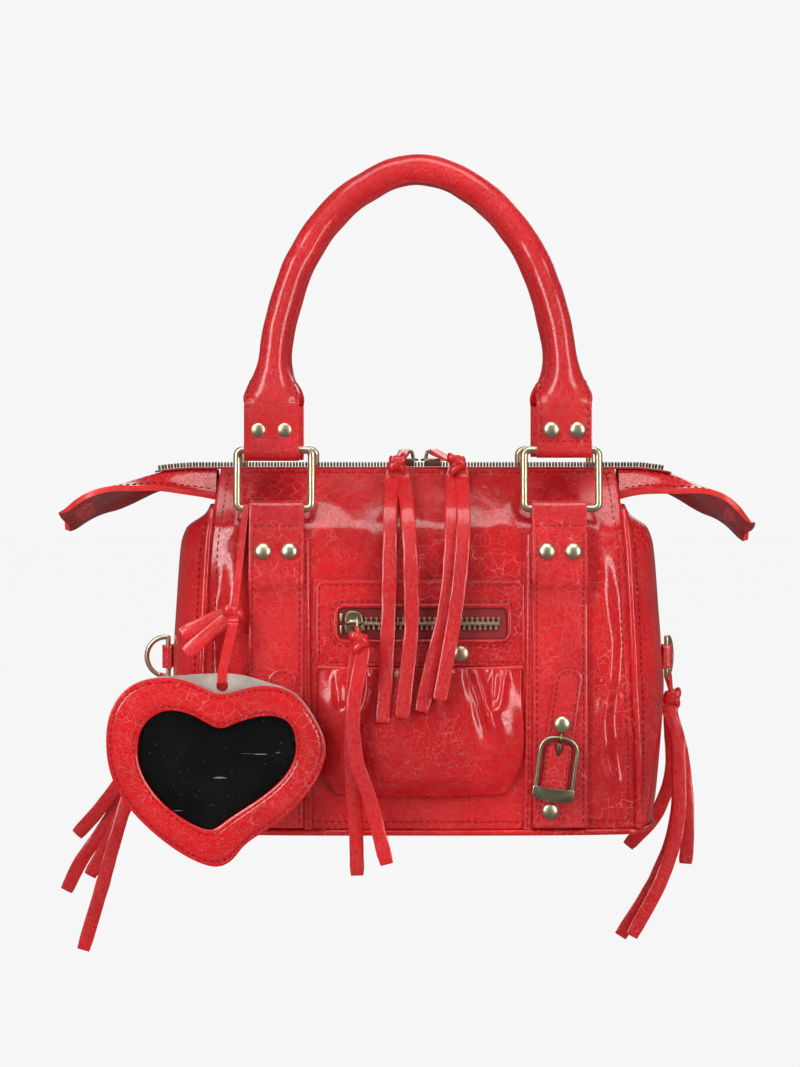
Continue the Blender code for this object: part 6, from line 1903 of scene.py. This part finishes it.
def panelTails(bar, shares, length):
    tails = []
    for route in shares:
        places = []
        for across, forwards, down in route:
            x, z = bar.x + across * length, bar.z - down * length
            ground = plainPanel(x, min(max(z, levelAt(0)), levelAt(1))).y
            places.append(Vector((x, ground - forwards * length, z)))
        tails.append(places)
    return tails


def freeTails(start, shares, length, side):
    tails = []
    for route in shares:
        places = [Vector((side * out, -forwards, -down)) for out, forwards, down in route]
        tails.append([start + length * place for place in places])
    return tails


def knotAbove(tails):
    return (tails[0][0] + tails[1][0]) / 2 + laceForm["knot"] * 1.2 * upward


pullForm = {
    "bars": {"left": (-0.0057, 0, -0.1306), "right": (0.0077, 0, -0.1306)},
    "leans": {"left": 0.55, "right": -0.5},
    "wire": 0.0008,
    "pocketWire": (-0.028586, -0.058617, -0.213643),
    "pocketBar": (-0.03035, -0.05366, -0.21094),
    "pocketMiddle": (-0.0303, -0.2118),
    "pocketLean": -0.45,
    "droop": math.radians(35),
    "ringShift": 0.0018,
    "ringDrop": 0.00195,
    "ring": 0.0037,
    "ringWire": 0.00055,
}


def makePulls():
    f = laceForm
    p = pullForm
    for hand, bar in p["bars"].items():
        bar = Vector(bar)
        tails = panelTails(bar, pullShares[hand], f["topPull"])
        loop = (knotAbove(tails), tails, bar, p["wire"], rightward, f["loop"])
        hangLace(f"{hand}Pull", f"{hand}_pull", f"{hand}_zip_pull", p["leans"][hand], *loop)
    wire = Vector(p["pocketWire"])
    normal = panelNormal(*p["pocketMiddle"])
    rising = (upward - normal.z * normal).normalized()
    low, level = math.sin(p["droop"]), math.cos(p["droop"])
    tails = panelTails(wire, pullShares["pocket"], f["pocketPull"])
    loop = (knotAbove(tails), tails, wire, p["ringWire"], low * normal + level * rising, f["narrow"])
    hangLace("pocketPull", "pocket_pull", "pocket_zip_pull", p["pocketLean"], *loop)
    droop = level * normal - low * rising
    centre = Vector(p["pocketBar"]) + p["ringShift"] * rightward + p["ringDrop"] * droop
    ring = [centre + p["ring"] * (cosine * normal + sine * rising) for cosine, sine in arc(40, 0, 2)[:-1]]
    shape = tubeShape(ring, p["ringWire"], sides=12, closed=True, seed=rightward)
    keepMetal("pocketPullRing", shape, ["pocket_pull_ring"], body="pocket_pull")


# the side rings, their keepers and tassels

sideForm = {
    "across": 0.1214,
    "level": -0.2305,
    "radius": 0.0100,
    "stretch": 1.05,
    "foot": 0.95,
    "wire": 0.0012,
    "turns": {"left": 0, "right": math.radians(72)},
    "clearance": 0.0004,
    "tabHeight": 0.0112,
    "tabReach": 0.0100,
    "tabLift": 0.0006,
    "tabSteps": 60,
    "leather": 0.0014,
    "seam": ((0.0048, -0.0042), (0.0086, -0.0042), (0.0086, 0.0042), (0.0048, 0.0042), (0.0048, -0.0042)),
    "tasselAngle": math.radians(-72),
    "knotOut": 0.5,
    "knotDown": 2.4,
}


def makeDRing(hand, bar, out):
    s = sideForm
    path = []
    for cosine, sine in arc(36, 0.5, -0.5):
        corner = 1 - 0.05 * abs(sine) ** 12
        path.append(bar + s["radius"] * (s["stretch"] * cosine * out + corner * sine * upward))
    path += [bar + s["radius"] * rise * upward for rise in steps(9, -s["foot"], s["foot"])[1:-1]]
    shape = tubeShape(path, s["wire"], sides=14, closed=True, seed=upward.cross(out).normalized())
    keepMetal(f"{hand}DRing", shape, [f"{hand}_d_ring"], body=f"{hand}_d_ring")


def makeRingTab(hand, side, bar):
    s = sideForm
    near = s["wire"] + s["clearance"] + s["leather"]
    outward = side * rightward
    share = heightShare(bar.z)
    depth = planAt(share)[3]
    route = []
    for y in steps(24, -s["tabReach"], s["tabReach"]):
        ground = gussetPlace(y / depth, share, side).x + side * (s["tabLift"] + s["leather"])
        arch = bar.x + side * (math.sqrt(max(near * near - y * y, 0)) if abs(y) < near else -1)
        route.append(Vector((max(ground * side, arch * side) * side, y, bar.z)))
    last = s["tabSteps"]
    route = smoothRoute(route, last)

    def tabAt(u, v):
        at = (u + 1) / 2 * last
        low = min(int(at), last - 1)
        half = s["tabHeight"] / 2 * (1 - 0.10 * smoothStep(0.8, 1, abs(u)))
        return route[low].lerp(route[low + 1], at - low) + v * half * upward

    shape = sheetShape(last, 10, tabAt, towards(outward))
    keepPiece(f"{hand}RingTab", shape, strapped, stands=[f"{hand}_d_ring_tab"], wall=s["leather"])
    thread = bmesh.new()
    for sign in (-1, 1):
        for (y1, z1), (y2, z2) in zip(s["seam"], s["seam"][1:]):
            line = []
            for y, z in zip(steps(8, sign * y1, sign * y2), steps(8, bar.z + z1, bar.z + z2)):
                ground = gussetPlace(y / depth, share, side).x
                line.append((Vector((ground + side * (0.0007 + s["leather"]), y, z)), outward))
            sewAlong(thread, line, pitch=0.0022, length=0.0016, width=0.0005)
    keepThread(f"{hand}RingTabStitching", thread)


def makeSides():
    s = sideForm
    f = laceForm
    for hand, side in hands:
        bar = Vector((side * s["across"], 0, s["level"]))
        turn = s["turns"][hand]
        out = Vector((side * math.cos(turn), math.sin(turn), 0))
        makeDRing(hand, bar, out)
        makeRingTab(hand, side, bar)
        cosine, sine = math.cos(s["tasselAngle"]), math.sin(s["tasselAngle"])
        hung = bar + s["radius"] * (s["stretch"] * cosine * out + sine * upward)
        axis = -s["stretch"] * sine * out + cosine * upward
        knot = hung + f["knot"] * Vector((side * s["knotOut"], 0, -s["knotDown"]))
        tails = freeTails(hung, tasselShares[hand], f["tassel"], side)
        loop = (knot, tails, hung, s["wire"], axis, f["narrow"])
        hangLace(f"{hand}Tassel", f"{hand}_tassel", f"{hand}_side_tassel", 0.4 * side, *loop)


# the heart charm: a stitched leather frame round a mirror, with a suede back, on its own lace

heartForm = {
    "half": 0.0521,
    "high": 0.0902,
    "tipAcross": 0.0939,
    "tipDrop": 0.3254,
    "depth": 0.060,
    "back": 0.0016,
    "mirror": 0.0016,
    "frame": 0.0024,
    "gap": 0.0003,
    "lap": 0.0030,
    "ease": 0.0003,
    "seams": (0.13, 0.87),
    "puff": 0.0009,
    "innerDip": 0.0005,
    "groove": 0.00035,
    "wrinkle": 0.00022,
    "hole": 0.0028,
    "holeShares": (0.045, 0.948),
    "cleft": (0.036, 0.897),
    "right": ((0.24, 0.938), (0.446, 0.959), (0.688, 0.923), (0.84, 0.814), (0.991, 0.639),
              (0.929, 0.50), (0.768, 0.361), (0.504, 0.222), (0.241, 0.134), (0.150, 0.05)),
    "left": ((-0.125, 0.943), (-0.277, 0.985), (-0.50, 1), (-0.759, 0.964), (-0.911, 0.876), (-0.995, 0.727),
             (-0.985, 0.557), (-0.88, 0.392), (-0.688, 0.253), (-0.429, 0.124), (-0.205, 0.045)),
    "backCleft": (0.05, 1.015),
    "backRight": ((0.24, 1.005), (0.446, 0.965)),
    "backLeft": ((-0.125, 1.01), (-0.277, 1.003)),
    "mirrorCleft": (0.036, 0.722),
    "mirrorRight": ((0.205, 0.768), (0.429, 0.799), (0.58, 0.789), (0.688, 0.727), (0.714, 0.619),
                    (0.634, 0.50), (0.393, 0.371), (0.098, 0.263)),
    "mirrorLeft": ((-0.089, 0.758), (-0.241, 0.809), (-0.429, 0.830), (-0.589, 0.791), (-0.696, 0.706),
                   (-0.714, 0.588), (-0.652, 0.469), (-0.482, 0.340), (-0.277, 0.253)),
    "mirrorTip": (-0.054, 0.186),
}
charmForm = {
    "bar": (-0.0816, -0.03601, -0.15763),
    "wire": 0.0018,
    "knot": (-0.0865, -0.0530, -0.2070),
    "lean": -0.35,
    "size": 1.12,
    "loop": 0.0028,
    "face": (0, -1, 0.3),
    "clearance": 0.0006,
    "width": 0.0034,
    "widening": 0.0016,
}


def heartPlace(across, rise):
    h = heartForm
    return Vector((across * h["half"] - h["tipAcross"], 0, rise * h["high"] - h["tipDrop"]))


def heartLoop(cleft, rightSide, leftSide, tip=(0, 0)):
    points = []
    for route in ((cleft,) + rightSide + (tip,), (tip,) + leftSide[::-1] + (cleft,)):
        positions = range(len(route))
        for at in steps(70, 0, len(route) - 1)[:-1]:
            points.append(heartPlace(*(between(positions, column, at) for column in zip(*route))))
    return points


def evenLoop(points, passes=14):
    # softens the outline's small kinks
    count = len(points)
    for _ in range(passes):
        points = [(points[i - 1] + 2 * point + points[(i + 1) % count]) / 4 for i, point in enumerate(points)]
    return points


def movedLoop(points, distance):
    count = len(points)
    moved = []
    for i, point in enumerate(points):
        tangent = (points[(i + 1) % count] - points[i - 1]).normalized()
        moved.append(point + distance * Vector((-tangent.z, 0, tangent.x)))
    return moved


def makeHeart():
    h = heartForm
    outer = evenLoop(heartLoop(h["cleft"], h["right"], h["left"]))
    window = evenLoop(heartLoop(h["mirrorCleft"], h["mirrorRight"], h["mirrorLeft"], h["mirrorTip"]))
    backSides = h["backRight"] + h["right"][2:], h["backLeft"] + h["left"][2:]
    backing = evenLoop(heartLoop(h["backCleft"], *backSides))
    back = h["depth"] + h["back"]
    near = back + h["gap"]
    far = near + h["mirror"]
    face = far + h["gap"] + h["frame"]

    def frameAt(point, share):
        crown = math.sin(math.pi * share)
        puff = h["puff"] * crown**0.7 - h["innerDip"] * (1 - smoothStep(0, 0.12, share))
        groove = h["groove"] * sum(bell(share - seam, 0.035) for seam in h["seams"])
        wrinkle = h["wrinkle"] * noise.noise(point * 160) * crown
        return Vector((point.x, -(face + puff - groove + wrinkle), point.z))

    def backAt(point, share):
        return Vector((point.x, -(back - 0.00008 * noise.noise(point * 400)), point.z))

    out = towards(forward)
    kept = {"body": "heart", "stands": ["heart_frame"], "wall": h["frame"], "edge": 0.0006}
    keepPiece("heartFrame", frameShape(window, outer, 30, frameAt, out), painted, **kept)
    thread = bmesh.new()
    for share in h["seams"]:
        line = [(frameAt(inner.lerp(point, share), share), forward) for inner, point in zip(window, outer)]
        sewAlong(thread, line + line[:1], pitch=0.0030, length=0.0019, width=0.0007)
    keepThread("heartStitching", thread, "heart")
    hole = heartPlace(*h["holeShares"])
    eye = [hole + h["hole"] * (point - hole).normalized() for point in backing]
    kept = {"body": "heart", "stands": ["heart_back"], "slot": "suede", "wall": h["back"]}
    keepPiece("heartBack", frameShape(eye, backing, 24, backAt, out), [greySuede, greySuede], **kept)
    glass = bmesh.new()
    lapped = movedLoop(window, h["lap"])
    rings = []
    for depth, inset in ((near, h["ease"]), (near + h["ease"], 0), (far - 0.0002, 0), (far, h["ease"])):
        rings.append(placedRing(glass, [Vector((p.x, -depth, p.z)) for p in movedLoop(lapped, -inset)]))
    skinRings(glass, rings)
    bmesh.ops.recalc_face_normals(glass, faces=glass.faces)
    keepPiece("heartMirror", glass, [mirrorGlass], "heart", ["heart_mirror"], "mirror", smooth=40)
    makeCharmLace(Vector((hole.x, -h["depth"], hole.z)))


def makeCharmLace(hole):
    f = laceForm
    h = heartForm
    c = charmForm
    name, body = "charmLace", "charm_lace"
    knot = Vector(c["knot"])
    laceLoop(f"{name}Loop", body, knot, Vector(c["bar"]), c["wire"], rightward, c["loop"])
    laceKnot(f"{name}Knot", body, knot, body, c["lean"], c["size"])
    tails = freeTails(knot, charmTailShares, f["charmTail"], -1)
    laceTails(name, body, knot, tails, Vector(c["face"]).normalized(), 44)
    clear = c["clearance"] + f["thickness"] / 2
    front, behind = hole.y - h["back"] - clear, hole.y + clear
    edge = heartPlace(*h["backCleft"]).z
    inside = hole.z + f["thickness"] / 2
    below = knot.z - f["knot"]
    down = [(knot.x, front, below), (hole.x, front, edge), (hole.x, front, inside + 0.0008)]
    through = (hole.x, (front + behind) / 2, inside - 0.0003)
    risen = [(x, behind, z) for x, y, z in reversed(down)]
    apart = f["thickness"] * forward
    route = smoothRoute([knot + apart, *down, through, *risen, knot - apart], 80)
    middle = Vector((hole.x, hole.y - h["back"] / 2, (edge + knot.z) / 2))

    def widthAt(share):
        return c["width"] + c["widening"] * abs(2 * share - 1)

    kept = {"axis": rightward, "cup": 0.0001, "wave": 0.0001, "outward": awayFrom(middle)}
    laceStrip(f"{name}Hanger", body, route, widthAt, **kept)


makePulls()
makeSides()
makeHeart()


# rows of stitches beside the seams, under the zip and above the base

print("seams")

seamRows = {
    "inset": 0.0046,
    "lift": 0.0001,
    "topDrop": 0.1405,
    "topShare": 0.90,
    "topPitch": 0.0029,
    "baseDrop": 0.3050,
    "baseShare": 0.955,
    "gusset": 0.90,
    "gussetUp": (0.03, 0.85),
}


def levelRow(drop, share, facing):
    reach = bagForm["seamHalf"] * share
    return panelRoute([(x, -drop) for x in steps(80, -reach, reach)], seamRows["lift"], facing)


def makeSeamRows():
    s = seamRows
    thread = bmesh.new()
    for facing in (-1, 1):
        for side in (-1, 1):
            levels = steps(90, -s["topDrop"], -s["baseDrop"])
            places = [(side * (planAt(heightShare(z))[0] - s["inset"]), z) for z in levels]
            sewAlong(thread, panelRoute(places, s["lift"], facing))
        sewAlong(thread, levelRow(s["topDrop"], s["topShare"], facing), pitch=s["topPitch"])
        sewAlong(thread, levelRow(s["baseDrop"], s["baseShare"], facing))
    for side in (-1, 1):
        for along in (-s["gusset"], s["gusset"]):
            row = []
            for up in steps(79, *s["gussetUp"]):
                row.append((onGusset(along, up, side, s["lift"]), gussetNormal(along, up, side)))
            sewAlong(thread, row)
    keepThread("seamStitching", thread)


makeSeamRows()

# the one frame node that stays in sight keeps its shape and takes a finish

baseBoard = boardFinish()
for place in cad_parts["base_board"].material_slots:
    place.material = baseBoard

# the end: the view layer is brought up to date

print("done")
bpy.context.view_layer.update()
